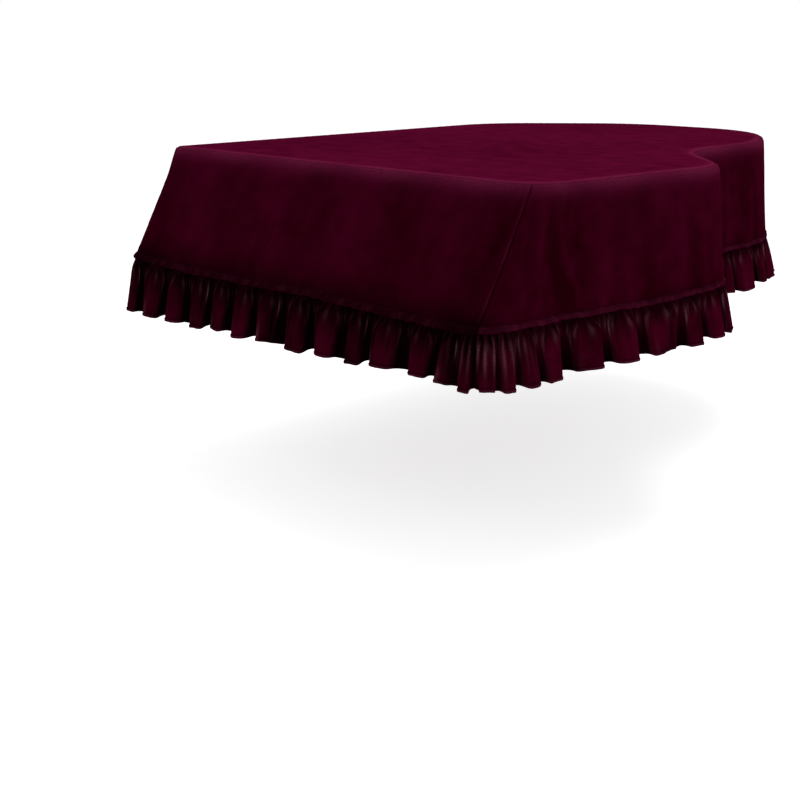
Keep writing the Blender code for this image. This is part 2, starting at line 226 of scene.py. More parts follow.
MAIN_FOLDS = (
    Fold(-0.91, -0.91, 0.095, 0.001, 0.004),
    Fold(-0.42, -0.42, 0.076, 0.001, 0.005),
    Fold(-0.07, -0.07, 0.038, 0.001, 0.004),
    Fold(0.085, 0.293, 0.034, 0.003, 0.012),
    Fold(0.325, 0.345, 0.026, 0.001, 0.005),
    Fold(0.570, 0.600, 0.043, 0.001, 0.006),
    Fold(0.750, 0.790, 0.038, 0.003, 0.006),
    Fold(1.660, 1.660, 0.057, 0.001, 0.006),
    Fold(2.120, 2.120, 0.048, 0.001, 0.005),
)

FINE_FOLDS = (
    Fold(0.040, 0.190, 0.024, -0.0022, -0.0030, 0.02, 0.95),
    Fold(0.135, 0.375, 0.020, -0.0016, -0.0026, 0.05, 1.0),
    Fold(0.020, 0.115, 0.012, 0.0016, 0.0018, 0.0, 0.72),
    Fold(0.118, 0.215, 0.010, 0.0014, 0.0010, 0.0, 0.60),
    Fold(0.215, 0.470, 0.016, 0.0008, 0.0022, 0.25, 1.1),
    Fold(0.455, 0.530, 0.018, -0.0010, -0.0022, 0.35, 1.1),
    Fold(0.660, 0.665, 0.016, 0.0012, 0.0018, 0.0, 1.1),
    Fold(0.730, 0.745, 0.011, -0.0024, -0.0010, 0.0, 0.55),
    Fold(0.845, 0.860, 0.018, 0.0014, 0.0026, 0.1, 1.1),
    Fold(-0.030, -0.110, 0.015, 0.0012, 0.0010, 0.0, 0.66),
    Fold(-0.140, -0.175, 0.026, -0.0010, -0.0020, 0.10, 1.1),
    Fold(-0.250, -0.265, 0.020, 0.0006, 0.0020, 0.30, 1.1),
    Fold(-0.590, -0.570, 0.034, -0.0006, -0.0022, 0.20, 1.1),
    Fold(-0.760, -0.790, 0.024, 0.0006, 0.0018, 0.25, 1.1),
    Fold(-1.130, -1.180, 0.030, 0.0008, 0.0024, 0.10, 1.1),
    Fold(-1.330, -1.390, 0.022, 0.0014, 0.0022, 0.00, 1.1),
    Fold(1.350, 1.350, 0.026, 0.0012, 0.0022, 0.0, 1.1),
    Fold(1.500, 1.520, 0.018, 0.0016, 0.0024, 0.0, 1.1),
    Fold(1.580, 1.575, 0.014, -0.0012, -0.0020, 0.0, 1.1),
    Fold(1.745, 1.760, 0.020, 0.0010, 0.0026, 0.1, 1.1),
    Fold(1.900, 1.930, 0.026, -0.0008, -0.0022, 0.2, 1.1),
    Fold(2.420, 2.400, 0.028, 0.0008, 0.0026, 0.2, 1.1),
    Fold(2.830, 2.860, 0.034, 0.0006, 0.0028, 0.2, 1.1),
    Fold(3.240, 3.210, 0.026, 0.0010, 0.0024, 0.1, 1.1),
    Fold(3.900, 3.900, 0.040, 0.0006, 0.0026, 0.2, 1.1),
    Fold(4.380, 4.400, 0.030, 0.0008, 0.0024, 0.1, 1.1),
    Fold(4.800, 4.790, 0.036, 0.0006, 0.0026, 0.2, 1.1),
)


@dataclass(frozen=True)
class CoverSizes:
    """The sizes to which the cover is cut, sewn and hung."""

    width: float = 1.515
    length: float = 1.920
    thickness: float = 0.0020
    rim_radius: float = 0.023
    flat_edge: float = 0.020
    top_seam_angle: float = math.radians(28)
    wall_drop: float = 0.335
    side_splay: float = 0.031
    spine_splay: float = 0.010
    front_reach: float = 0.190
    near_hem_radius: float = 0.085
    far_hem_radius: float = 0.100
    lip_flare: float = 0.005
    lip_height: float = 0.021
    front_belly: float = 0.006
    fan_share: float = 0.28
    near_seam_share: float = 0.357
    tail_seam_setback: float = 0.06
    hem_waves: tuple[tuple[int, float], ...] = ((8, 0.0030), (18, 0.0018), (31, 0.0010))


LID_CORNERS = (
    PlanCorner(0.0, 0.0, 0.043),
    PlanCorner(1.515, 0.0, 0.133),
    PlanCorner(1.572, 0.743, 0.23),
    PlanCorner(1.244, 1.056, 0.38),
    PlanCorner(1.244, 1.487, 0.48),
    PlanCorner(1.010, 1.920, 0.43),
    PlanCorner(0.425, 1.920, 0.43),
    PlanCorner(0.0, 1.525, 0.40),
)
FAR_CORNER = 0
NEAR_CORNER = 1
SPINE_END = 7


@dataclass
class Walls:
    """The cover's walls as one closed run of sections, read at any distance along the hem."""

    sizes: CoverSizes = field(default_factory=CoverSizes)
    corner_steps: int = 40
    fan_step: float = 0.006
    side_step: float = 0.02

    def __post_init__(self) -> None:
        """Walk round the lid, then measure the hem from the near corner's seam."""
        centre = np.array([self.sizes.width, self.sizes.length]) / 2
        corners = [np.array([c.across, c.along]) - centre for c in LID_CORNERS]
        count = len(corners)
        self.arcs = [
            Arc.rounding(corners[i - 1], corners[i], corners[(i + 1) % count], c.radius)
            for i, c in enumerate(LID_CORNERS)
        ]
        parts: list[Array] = []
        places: dict[str, tuple[int, float]] = {}
        reached = 0
        for i in range(count):
            if i in (FAR_CORNER, NEAR_CORNER):
                corner, arc_start, arc_length = self.front_corner(i)
                share = self.sizes.near_seam_share if i == NEAR_CORNER else 0.5
                name = "near" if i == NEAR_CORNER else "far"
                places[name] = (reached + arc_start, arc_length * share)
            else:
                corner = self.plain_corner(i)
                if i == SPINE_END:
                    places["tail"] = (reached + len(corner) - 1, self.sizes.tail_seam_setback)
            side = self.side(corner[-1], self.arcs[(i + 1) % count].points(0.0))
            parts.extend([corner, side])
            reached += len(corner) + len(side)
        run = np.concatenate(parts)
        closed = np.concatenate([run, run[:1]])
        steps = np.linalg.norm(np.diff(closed[:, 2:4], axis=0), axis=1)
        travelled = np.concatenate([[0.0], np.cumsum(steps)])
        self.girth = float(travelled[-1])
        marks = {name: travelled[index] + extra for name, (index, extra) in places.items()}
        self.far = float(marks["far"] - marks["near"])
        self.tail = float(marks["tail"] - marks["near"])
        self.run = closed
        self.distances = travelled - marks["near"]

    def plain_corner(self, index: int) -> Array:
        """Sections round a corner whose hem stands a little out from the lid.

        Args:
            index: The corner's place in the plan.

        Returns:
            The sections, in rows of rim, hem and their two outward directions.
        """
        arc = self.arcs[index]
        shares = np.linspace(0.0, 1.0, self.corner_steps + 1)
        end_splay = self.sizes.spine_splay if index == SPINE_END else self.sizes.side_splay
        splay = self.sizes.side_splay + (end_splay - self.sizes.side_splay) * shares
        outward = arc.outward(shares)
        rim = arc.points(shares)
        return np.hstack([rim, rim + outward * splay[:, None], outward, outward])

    def front_corner(self, index: int) -> tuple[Array, int, float]:
        """Sections round a front corner, which fan out to the hem's own corner.

        Args:
            index: The corner's place in the plan.

        Returns:
            The sections, the first of them on the hem's arc, and that arc's length.
        """
        sizes = self.sizes
        near = index == NEAR_CORNER
        arc = self.arcs[index]
        front, side = sizes.front_reach, sizes.side_splay
        reaches = (front, side) if near else (sizes.spine_splay, front)
        hem_radius = sizes.near_hem_radius if near else sizes.far_hem_radius
        first, last = arc.outward(0.0), arc.outward(1.0)
        leaving = np.array([-last[1], last[0]])
        overrun = leaving * max(0.0, hem_radius - arc.radius - reaches[0])
        start = arc.points(0.0) + first * reaches[0]
        end = arc.points(1.0) + overrun + last * reaches[1]
        hem_corner = start + last * float((end - start) @ last)
        hem_arc = Arc.rounding(start, hem_corner, end, hem_radius)
        first_fan = self.fan(arc, 0, start, hem_arc.points(0.0))
        last_fan = self.fan(arc, 1, hem_arc.points(1.0), end)
        first_turn = sizes.fan_share if len(first_fan) else 0.0
        last_turn = 1 - sizes.fan_share if len(last_fan) else 1.0
        shares = np.linspace(0.0, 1.0, self.corner_steps + 1)
        turns = first_turn + (last_turn - first_turn) * shares
        rim = arc.points(turns) + overrun * shares[:, None] ** 2
        outwards = [arc.outward(turns), hem_arc.outward(shares)]
        middle = np.hstack([rim, hem_arc.points(shares), *outwards])
        sections = np.concatenate([first_fan, middle, last_fan])
        return sections, len(first_fan), abs(hem_arc.radius * hem_arc.sweep)

    def fan(self, arc: Arc, square_turn: int, start: Array, end: Array) -> Array:
        """Sections that turn with the rim's arc while the hem, square to one side, runs straight.

        Args:
            arc: The rim's arc.
            square_turn: 0 for the fan before the corner and 1 for the one after it.
            start: The hem's straight part begins here.
            end: The hem's straight part ends here.

        Returns:
            The sections, or none where the hem has no straight part.
        """
        length = float(np.linalg.norm(end - start))
        if length < 0.008:
            return np.zeros((0, 8))
        steps = max(1, round(length / self.fan_step))
        shares = np.arange(square_turn, steps + square_turn) / steps
        turns = np.abs(square_turn - self.sizes.fan_share * np.abs(shares - square_turn))
        hem = start + (end - start) * shares[:, None]
        square = np.tile(arc.outward(float(square_turn)), (len(shares), 1))
        return np.hstack([arc.points(turns), hem, arc.outward(turns), square])

    def side(self, last: Array, end: Array) -> Array:
        """Sections along a straight side, between two corners.

        Args:
            last: The last section of the corner before it.
            end: Where the rim meets the next corner.

        Returns:
            The sections between the two corners.
        """
        rim, hem = last[0:2], last[2:4]
        steps = max(1, round(float(np.linalg.norm(end - rim)) / self.side_step))
        shares = np.arange(1, steps)[:, None] / steps
        rims = rim + (end - rim) * shares
        directions = np.tile(last[4:8], (len(rims), 1))
        return np.hstack([rims, rims + (hem - rim), directions])

    def at(self, distance: Array) -> Sections:
        """The sections of the walls at distances along the hem.

        Args:
            distance: Distances from the near corner's seam.

        Returns:
            One section for each distance.
        """
        wrapped = (distance - self.distances[0]) % self.girth + self.distances[0]
        columns = [np.interp(wrapped, self.distances, self.run[:, i]) for i in range(8)]
        rim, hem, rim_outward, hem_outward = (
            pairs(columns[i], columns[i + 1]) for i in range(0, 8, 2)
        )
        return Sections(rim, hem, unit(rim_outward), unit(hem_outward), wrapped)

    def lean(self, sections: Sections) -> Array:
        """Angles by which the walls lean out from the upright."""
        return np.arctan2(sections.reach, self.sizes.wall_drop)

    def rim_points(self, sections: Sections, angle: Array, lift: Array) -> Array:
        """Points on the rounded rim.

        Args:
            sections: Sections of the walls.
            angle: Angles round the rim, from 0 at its flat inner edge towards the wall.
            lift: How far the points stand off the plain rounding.

        Returns:
            The points, in rows of one angle each.
        """
        radius = self.sizes.rim_radius + lift
        inset = self.sizes.rim_radius - radius * np.sin(angle)
        height = self.sizes.thickness - self.sizes.rim_radius + radius * np.cos(angle)
        plan = sections.rim - sections.rim_outward * inset[..., None]
        return np.concatenate([plan, height[..., None]], axis=-1)

    def hem_height(self, sections: Sections) -> Array:
        """Heights of the hem, which rises and falls a little round the cover.

        Args:
            sections: Sections of the walls.

        Returns:
            Heights in metres.
        """
        turns = math.tau * sections.distance / self.girth
        waves = sum(height * np.sin(turns * count) for count, height in self.sizes.hem_waves)
        return waves - self.sizes.wall_drop

    def seam_relief(self, distance: Array, share: Array) -> Array:
        """How far the cloth stands up beside the walls' upright seams and sinks in at them.

        Args:
            distance: Distances along the hem.
            share: Shares of the wall's fall.

        Returns:
            Heights off the plain wall, in metres.
        """
        relief = np.zeros(np.broadcast(distance, share).shape)
        seams = ((0.0, 1.0), (self.far, 0.6), (self.far + self.girth, 0.6), (self.tail, 0.5))
        for seam, size in seams:
            past = distance - seam
            pucker = 1 + 0.35 * np.sin(share * 61 + seam * 7) * np.sin(share * 23 + 1.3)
            relief += size * 0.0020 * pucker * bell(past, -0.0070, 0.0052)
            relief += size * 0.0010 * pucker * bell(past, 0.0075, 0.0055)
            relief -= size * 0.0026 * bell(past, 0.0, 0.0026)
        return relief

    def hem_relief(self, distance: Array, share: Array) -> Array:
        """The turned-up hem: its stitched upper line, its fullness and its rolled lower edge.

        Args:
            distance: Distances along the hem.
            share: Shares of the wall's fall.

        Returns:
            Heights off the plain wall, in metres.
        """
        lip = self.sizes.lip_height / self.sizes.wall_drop
        place = (share - (1 - lip)) / lip
        pull = np.sin(distance * 231 + 1.6 * np.sin(distance * 37)) * 0.5
        pull = pull + np.sin(distance * 143 + 2.1 * np.sin(distance * 19) + 0.8) * 0.5
        relief = self.sizes.lip_flare * soft_step(place, 0.0, 0.62)
        relief = relief - 0.0062 * soft_step(place, 0.68, 1.0) ** 1.4
        relief = relief - 0.0011 * bell(place, 0.06, 0.10)
        relief = relief + 0.0010 * pull * bell(place, 0.42, 0.34)
        return relief + 0.0008 * pull * np.exp(-np.abs(share - 1 + lip) / 0.055)

    def wall_points(self, sections: Sections, share: Array) -> Array:
        """Points on the walls' outer face, at shares of the fall from the rounded rim to the hem.

        Args:
            sections: Sections of the walls.
            share: Shares of the fall, in rows.

        Returns:
            The points, in rows of one share each.
        """
        sizes = self.sizes
        distance = sections.distance
        lean = self.lean(sections)
        start = self.rim_points(sections, math.pi / 2 - lean, np.zeros(len(distance)))
        bottom = self.hem_height(sections)
        height = start[..., 2] + (bottom - start[..., 2]) * share
        outset = np.zeros(height.shape)
        for fold in (*MAIN_FOLDS, *FINE_FOLDS):
            outset -= fold.depth(distance, share)
        outset += Unevenness(0.42, 0.0016, 3.0).at(distance, share * 0.3)
        outset += Unevenness(0.13, 0.0006, 5.0, stretch=1.8).at(distance, share * 0.3)
        outset *= soft_step(share, 0.0, 0.25)
        lean_share = lean / math.atan2(sizes.front_reach, sizes.wall_drop)
        outset -= lean_share**4 * sizes.front_belly * np.sin(math.pi * np.clip(share, 0, 1))
        outset += self.seam_relief(distance, share) + self.hem_relief(distance, share)
        plan = start[..., :2] * (1 - share[..., None]) + sections.hem * share[..., None]
        plan = plan + sections.hem_outward * outset[..., None]
        pull = np.sin(distance * 97 + 2.2 * np.sin(distance * 23))
        pull = pull + 0.6 * np.sin(distance * 211 + 1.1)
        height = height + 0.0013 * pull * soft_step(share, 0.90, 0.96)
        return np.concatenate([plan, height[..., None]], axis=-1)


@dataclass
class ClothGrid:
    """Rows of points on a sheet's outer face, with what its finish reads at each of them."""

    points: Array
    uv: Array
    # Per point: the nap with painted light and shade, the wear with painted highlights, and the painted
    # shade.
    nap_and_light: Array
    wear_and_highlight: Array
    shade: Array
    closed: bool = False
    centre: Array | None = None

    def faces(self) -> list[tuple[int, ...]]:
        """Quads between the rows, and a fan of triangles round a closed sheet's centre.

        Returns:
            The corners of each face.
        """
        rows, columns = self.points.shape[:2]
        across = columns if self.closed else columns - 1
        faces: list[tuple[int, ...]] = []
        for row in range(rows - 1):
            for left in range(across):
                right = (left + 1) % columns
                upper, lower = row * columns, (row + 1) * columns
                faces.append((upper + left, lower + left, lower + right, upper + right))
        if self.centre is not None:
            middle = rows * columns
            faces.extend((middle, left, (left + 1) % columns) for left in range(columns))
        return faces

    def values(self, name: str) -> Array:
        """One value for each point of the mesh, with the centre's own at the end.

        Args:
            name: Which value: nap_and_light (nap with painted light and shade), wear_and_highlight (rub
                with painted highlights) or shade (painted shade).

        Returns:
            The values in the order of the mesh's points.
        """
        flat = getattr(self, name).reshape(-1)
        if self.centre is None:
            return flat
        return np.append(flat, flat[: self.points.shape[1]].mean())

    def build(
        self, name: str, thickness: float, finishes: list[bpy.types.Material]
    ) -> bpy.types.Object:
        """The sheet as an object, thickened inwards.

        Args:
            name: The piece's name.
            thickness: The cloth's thickness.
            finishes: The outer face's material and the inner face's.

        Returns:
            The sheet's object.
        """
        vertices = self.points.reshape(-1, 3)
        places = self.uv.reshape(-1, 2)
        if self.centre is not None:
            vertices = np.vstack([vertices, self.centre])
            places = np.vstack([places, self.centre[:2]])
        mesh = bpy.data.meshes.new(name)
        mesh.from_pydata(vertices.tolist(), [], self.faces())
        corners = np.zeros(len(mesh.loops), np.int32)
        mesh.loops.foreach_get("vertex_index", corners)
        layer = mesh.uv_layers.new(name="cloth")
        layer.data.foreach_set("uv", places[corners].astype(np.float32).reshape(-1))
        for value in ("nap_and_light", "wear_and_highlight", "shade"):
            attribute = mesh.attributes.new(value, "FLOAT", "POINT")
            attribute.data.foreach_set("value", self.values(value).astype(np.float32))
        for finish in finishes:
            mesh.materials.append(finish)
        piece = bpy.data.objects.new(name, mesh)
        bpy.context.scene.collection.objects.link(piece)
        wall = piece.modifiers.new("Cloth thickness", "SOLIDIFY")
        wall.thickness = thickness
        wall.offset = -1.0
        wall.material_offset = len(finishes) - 1
        wall.material_offset_rim = 0
        select_only(piece)
        bpy.ops.object.modifier_apply(modifier=wall.name)
        bpy.ops.object.shade_smooth_by_angle(angle=math.radians(55))
        return piece


def select_only(piece: bpy.types.Object) -> None:
    """Deselect everything, then select one object and make it active.

    Args:
        piece: The object.
    """
    bpy.ops.object.select_all(action="DESELECT")
    piece.select_set(True)
    bpy.context.view_layer.objects.active = piece


class NodeBench:
    """A material's node tree, with short calls for adding nodes and links."""

    def __init__(self, name: str) -> None:
        """Start a material with its Principled shader and the cloth's own UV map.

        Args:
            name: The material's name.
        """
        self.material = bpy.data.materials.new(name)
        self.material.use_nodes = True
        self.tree = self.material.node_tree
        self.shader = self.tree.nodes["Principled BSDF"]
        self.map = self.add("ShaderNodeUVMap")
        self.map.uv_map = "cloth"

    def add(self, kind: str) -> bpy.types.Node:
        """A new node of a kind."""
        return self.tree.nodes.new(kind)

    def link(self, output: bpy.types.NodeSocket, target: bpy.types.NodeSocket) -> None:
        """A link from an output to an input."""
        self.tree.links.new(output, target)

    def noise(
        self, scale: tuple[float, float], detail: float, roughness: float = 0.5
    ) -> bpy.types.NodeSocket:
        """Noise on the cloth, with its repeats per metre along and down it.

        Args:
            scale: Repeats per metre along the cloth and down it.
            detail: How many finer layers it has.
            roughness: How strong the finer layers are.

        Returns:
            The noise, from 0 to 1.
        """
        mapping = self.add("ShaderNodeMapping")
        mapping.inputs["Scale"].default_value = (scale[0], scale[1], 1.0)
        self.link(self.map.outputs["UV"], mapping.inputs["Vector"])
        noise = self.add("ShaderNodeTexNoise")
        noise.inputs["Scale"].default_value = 1.0
        noise.inputs["Detail"].default_value = detail
        noise.inputs["Roughness"].default_value = roughness
        self.link(mapping.outputs["Vector"], noise.inputs["Vector"])
        return noise.outputs["Fac"]

    def attribute(self, name: str) -> bpy.types.NodeSocket:
        """A value that is stored at the cloth's points.

        Args:
            name: The attribute's name.

        Returns:
            Its value.
        """
        node = self.add("ShaderNodeAttribute")
        node.attribute_name = name
        return node.outputs["Fac"]

    def math(
        self,
        operation: str,
        first: bpy.types.NodeSocket | float,
        second: bpy.types.NodeSocket | float,
    ) -> bpy.types.NodeSocket:
        """A sum of two values by one operation.

        Args:
            operation: The operation's name.
            first: The first value.
            second: The second value.

        Returns:
            The sum.
        """
        node = self.add("ShaderNodeMath")
        node.operation = operation
        for socket, value in zip(node.inputs, (first, second)):
            if isinstance(value, bpy.types.NodeSocket):
                self.link(value, socket)
            else:
                socket.default_value = value
        return node.outputs["Value"]

    def span(
        self,
        value: bpy.types.NodeSocket,
        low: float,
        high: float,
        to_low: float = 0.0,
        to_high: float = 1.0,
    ) -> bpy.types.NodeSocket:
        """A value brought from one range to another, and held inside it.

        Args:
            value: The value.
            low: The range's lower end.
            high: Its upper end.
            to_low: What the lower end becomes.
            to_high: What the upper end becomes.

        Returns:
            The value in its new range.
        """
        node = self.add("ShaderNodeMapRange")
        node.inputs["From Min"].default_value = low
        node.inputs["From Max"].default_value = high
        node.inputs["To Min"].default_value = to_low
        node.inputs["To Max"].default_value = to_high
        self.link(value, node.inputs["Value"])
        return node.outputs["Result"]

    def mix(
        self,
        share: bpy.types.NodeSocket,
        first: bpy.types.NodeSocket | Colour,
        second: bpy.types.NodeSocket | Colour,
    ) -> bpy.types.NodeSocket:
        """A colour between two others.

        Args:
            share: The second colour's share.
            first: The first colour.
            second: The second colour.

        Returns:
            The mixed colour.
        """
        node = self.add("ShaderNodeMix")
        node.data_type = "RGBA"
        self.link(share, node.inputs["Factor"])
        for socket, value in zip((node.inputs[6], node.inputs[7]), (first, second)):
            if isinstance(value, bpy.types.NodeSocket):
                self.link(value, socket)
            else:
                socket.default_value = value
        return node.outputs[2]

    def bump(
        self,
        height: bpy.types.NodeSocket,
        distance: float,
        strength: float,
        under: bpy.types.NodeSocket | None = None,
    ) -> bpy.types.NodeSocket:
        """A bump on the surface, over another one if it is given.

        Args:
            height: The bump's height, from 0 to 1.
            distance: What a height of 1 stands for, in metres.
            strength: How much of it shows.
            under: The relief that lies under it.

        Returns:
            The surface's new normal.
        """
        node = self.add("ShaderNodeBump")
        node.inputs["Distance"].default_value = distance
        node.inputs["Strength"].default_value = strength
        self.link(height, node.inputs["Height"])
        if under is not None:
            self.link(under, node.inputs["Normal"])
        return node.outputs["Normal"]

    def finish(self, colour: bpy.types.NodeSocket, normal: bpy.types.NodeSocket) -> bpy.types.Material:
        """Join the colour and the relief to the shader.

        Args:
            colour: The base colour.
            normal: The relief.

        Returns:
            The finished material.
        """
        self.link(colour, self.shader.inputs["Base Color"])
        self.link(normal, self.shader.inputs["Normal"])
        return self.material


@dataclass(frozen=True)
class Velvet:
    """Cotton velvet with a short dense pile, darker where it is brushed down, with painted shade where
    it lies in a fold and painted highlights on its rubbed edges.
    """

    name: str
    deep: Colour
    lit: Colour
    # Pale tone of rubbed pile, also used for painted highlights on rims, lips and ridges.
    worn_and_lit: Colour = (0.165, 0.016, 0.055, 1.0)
    # Near-black of the painted shade in folds, gaps and seams.
    painted_shade: Colour = (0.0010, 0.0002, 0.0004, 1.0)
    roughness: float = 0.78
    specular: float = 0.0
    sheen: float = 0.03
    sheen_roughness: float = 0.42
    sheen_tint: Colour = (1.0, 0.02, 0.22, 1.0)
    mottle: float = 0.85
    streaks: tuple[float, float] = (3.0, 22.0)

    def material(self) -> bpy.types.Material:
        """The velvet's pile: mottled colour, worn edges with painted highlights, painted light and shade
        from the nap attribute, painted shade in folds, gaps and seams, and a fine nap.

        Returns:
            The material.
        """
        bench = NodeBench(self.name)
        cloud = bench.span(bench.noise((13.0, 17.0), 4.0, 0.55), 0.32, 0.68, -1.0, 1.0)
        streak = bench.span(bench.noise(self.streaks, 3.0), 0.30, 0.70, -1.0, 1.0)
        tufts = bench.noise((210.0, 230.0), 3.0, 0.65)
        cloud = bench.math("MULTIPLY", cloud, 0.65 * self.mottle)
        nap_and_light = bench.math("ADD", cloud, bench.math("MULTIPLY", streak, 0.35 * self.mottle))
        nap_and_light = bench.math("ADD", nap_and_light, bench.span(tufts, 0.3, 0.7, -0.22, 0.22))
        # The nap attribute adds painted light and shade: lighter fold flanks, rims and panels, darker
        # troughs and shaded walls.
        nap_and_light = bench.math("ADD", nap_and_light, bench.attribute("nap_and_light"))
        share = bench.span(nap_and_light, -1.0, 1.0)
        colour = bench.mix(share, self.deep, self.lit)
        # Painted highlights, with some rub: the wear_and_highlight attribute pales the pile towards the
        # worn_and_lit colour.
        tips = bench.span(tufts, 0.34, 0.62, 0.35, 1.0)
        rub_and_highlight = bench.math("MULTIPLY", bench.attribute("wear_and_highlight"), tips)
        colour = bench.mix(rub_and_highlight, colour, self.worn_and_lit)
        # Painted shade: the shade attribute darkens folds, gaps, seams and the hem's underside towards
        # the painted_shade colour.
        colour = bench.mix(bench.attribute("shade"), colour, self.painted_shade)
        pile = bench.bump(bench.noise((1300.0, 1500.0), 2.0, 0.7), 0.0005, 0.55)
        brushed = bench.bump(bench.noise((46.0, 90.0), 3.0), 0.0016, 0.22, pile)
        shader = bench.shader.inputs
        shader["Roughness"].default_value = self.roughness
        shader["Specular IOR Level"].default_value = self.specular
        shader["Sheen Weight"].default_value = self.sheen
        shader["Sheen Roughness"].default_value = self.sheen_roughness
        shader["Sheen Tint"].default_value = self.sheen_tint
        return bench.finish(colour, brushed)


@dataclass(frozen=True)
class Backing:
    """The velvet's plain woven back, which faces inwards."""

    name: str = "woven backing"
    warp: Colour = (0.060, 0.004, 0.017, 1.0)
    weft: Colour = (0.030, 0.002, 0.008, 1.0)
    threads_per_metre: float = 950.0

    def material(self) -> bpy.types.Material:
        """A plain weave of two threads, with a faint unevenness.

        Returns:
            The material.
        """
        bench = NodeBench(self.name)
        heights = []
        for direction in ("X", "Y"):
            wave = bench.add("ShaderNodeTexWave")
            wave.bands_direction = direction
            wave.inputs["Scale"].default_value = self.threads_per_metre / 20
            wave.inputs["Distortion"].default_value = 0.6
            wave.inputs["Detail"].default_value = 1.0
            bench.link(bench.map.outputs["UV"], wave.inputs["Vector"])
            heights.append(wave.outputs["Fac"])
        weave = bench.math("MULTIPLY", heights[0], heights[1])
        uneven = bench.span(bench.noise((60.0, 60.0), 3.0), 0.3, 0.7, -0.25, 0.25)
        colour = bench.mix(bench.math("ADD", weave, uneven), self.weft, self.warp)
        shader = bench.shader.inputs
        shader["Roughness"].default_value = 0.9
        shader["Specular IOR Level"].default_value = 0.15
        return bench.finish(colour, bench.bump(weave, 0.0003, 0.5))


@dataclass(frozen=True)
class Thread:
    """Twisted burgundy sewing thread."""

    name: str = "sewing thread"
    light: Colour = (0.040, 0.002, 0.012, 1.0)
    dark: Colour = (0.012, 0.001, 0.004, 1.0)
    twists_per_metre: float = 2400.0

    def material(self) -> bpy.types.Material:
        """A thread with a fine twist across it.

        Returns:
            The material.
        """
        bench = NodeBench(self.name)
        wave = bench.add("ShaderNodeTexWave")
        wave.bands_direction = "DIAGONAL"
        wave.inputs["Scale"].default_value = self.twists_per_metre / 20
        bench.link(bench.map.outputs["UV"], wave.inputs["Vector"])
        colour = bench.mix(wave.outputs["Fac"], self.dark, self.light)
        bench.shader.inputs["Roughness"].default_value = 0.6
        bench.shader.inputs["Specular IOR Level"].default_value = 0.04
        return bench.finish(colour, bench.bump(wave.outputs["Fac"], 0.0001, 0.6))


def inward_rows(sections: Sections, angle: Array) -> Array:
    """Unit directions into the cover, for rows whose faces lie at angles round the rim.

    Args:
        sections: Sections of the walls.
        angle: Angles round the rim, in rows.

    Returns:
        The directions, in rows.
    """
    plan = -sections.rim_outward * np.sin(angle)[..., None]
    return np.concatenate([plan, -np.cos(angle)[..., None]], axis=-1)


def with_allowances(grid: ClothGrid, inward: Array, depth: float, top: bool) -> ClothGrid:
    """A sheet with its seam allowances: at each end, and along its top where asked, turned in.

    Args:
        grid: The sheet.
        inward: Unit directions into the cover at the sheet's points.
        depth: The allowances' depth.
        top: Whether the top edge has one too.

    Returns:
        The sheet with a row or column more at each of these edges.
    """
    points, uv = grid.points, grid.uv
    values = [grid.nap_and_light, grid.wear_and_highlight, grid.shade]
    if top:
        edge = points[:1] + inward[:1] * depth
        points = np.concatenate([edge, points])
        uv = np.concatenate([uv[:1] + (0, depth), uv])
        inward = np.concatenate([inward[:1], inward])
        values = [np.concatenate([value[:1], value]) for value in values]
    ends = [points[:, i : i + 1] + inward[:, i : i + 1] * depth for i in (0, points.shape[1] - 1)]
    points = np.concatenate([ends[0], points, ends[1]], axis=1)
    uv = np.concatenate([uv[:, :1] - (depth, 0), uv, uv[:, -1:] + (depth, 0)], axis=1)
    values = [np.concatenate([value[:, :1], value, value[:, -1:]], axis=1) for value in values]
    return ClothGrid(points, uv, *values)


def columns_between(start: float, end: float, step: float) -> Array:
    """Distances from one seam to another, closer together beside the seams.

    Args:
        start: Where the first seam lies.
        end: Where the second seam lies.
        step: The step between most of them.

    Returns:
        The distances in order.
    """
    count = max(2, round((end - start) / step))
    even = np.linspace(start, end, count + 1)
    beside = np.array([0.0012, 0.0024, 0.0037, 0.0052, 0.0068, 0.0085, 0.0105, 0.0128, 0.0155])
    near_ends = np.concatenate([start + beside, end - beside])
    at_ends = (even < start + 1e-9) | (even > end - 1e-9)
    kept = even[at_ends | ((even > start + 0.018) & (even < end - 0.018))]
    return np.sort(np.concatenate([kept, near_ends]))


def dress(piece: bpy.types.Object, node: str) -> None:
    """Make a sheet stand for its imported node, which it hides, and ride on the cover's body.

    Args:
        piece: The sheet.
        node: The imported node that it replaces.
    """
    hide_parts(node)
    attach(piece, ROOT)
    LOG.info("%s replaces %s: %d faces", piece.name, node, len(piece.data.polygons))


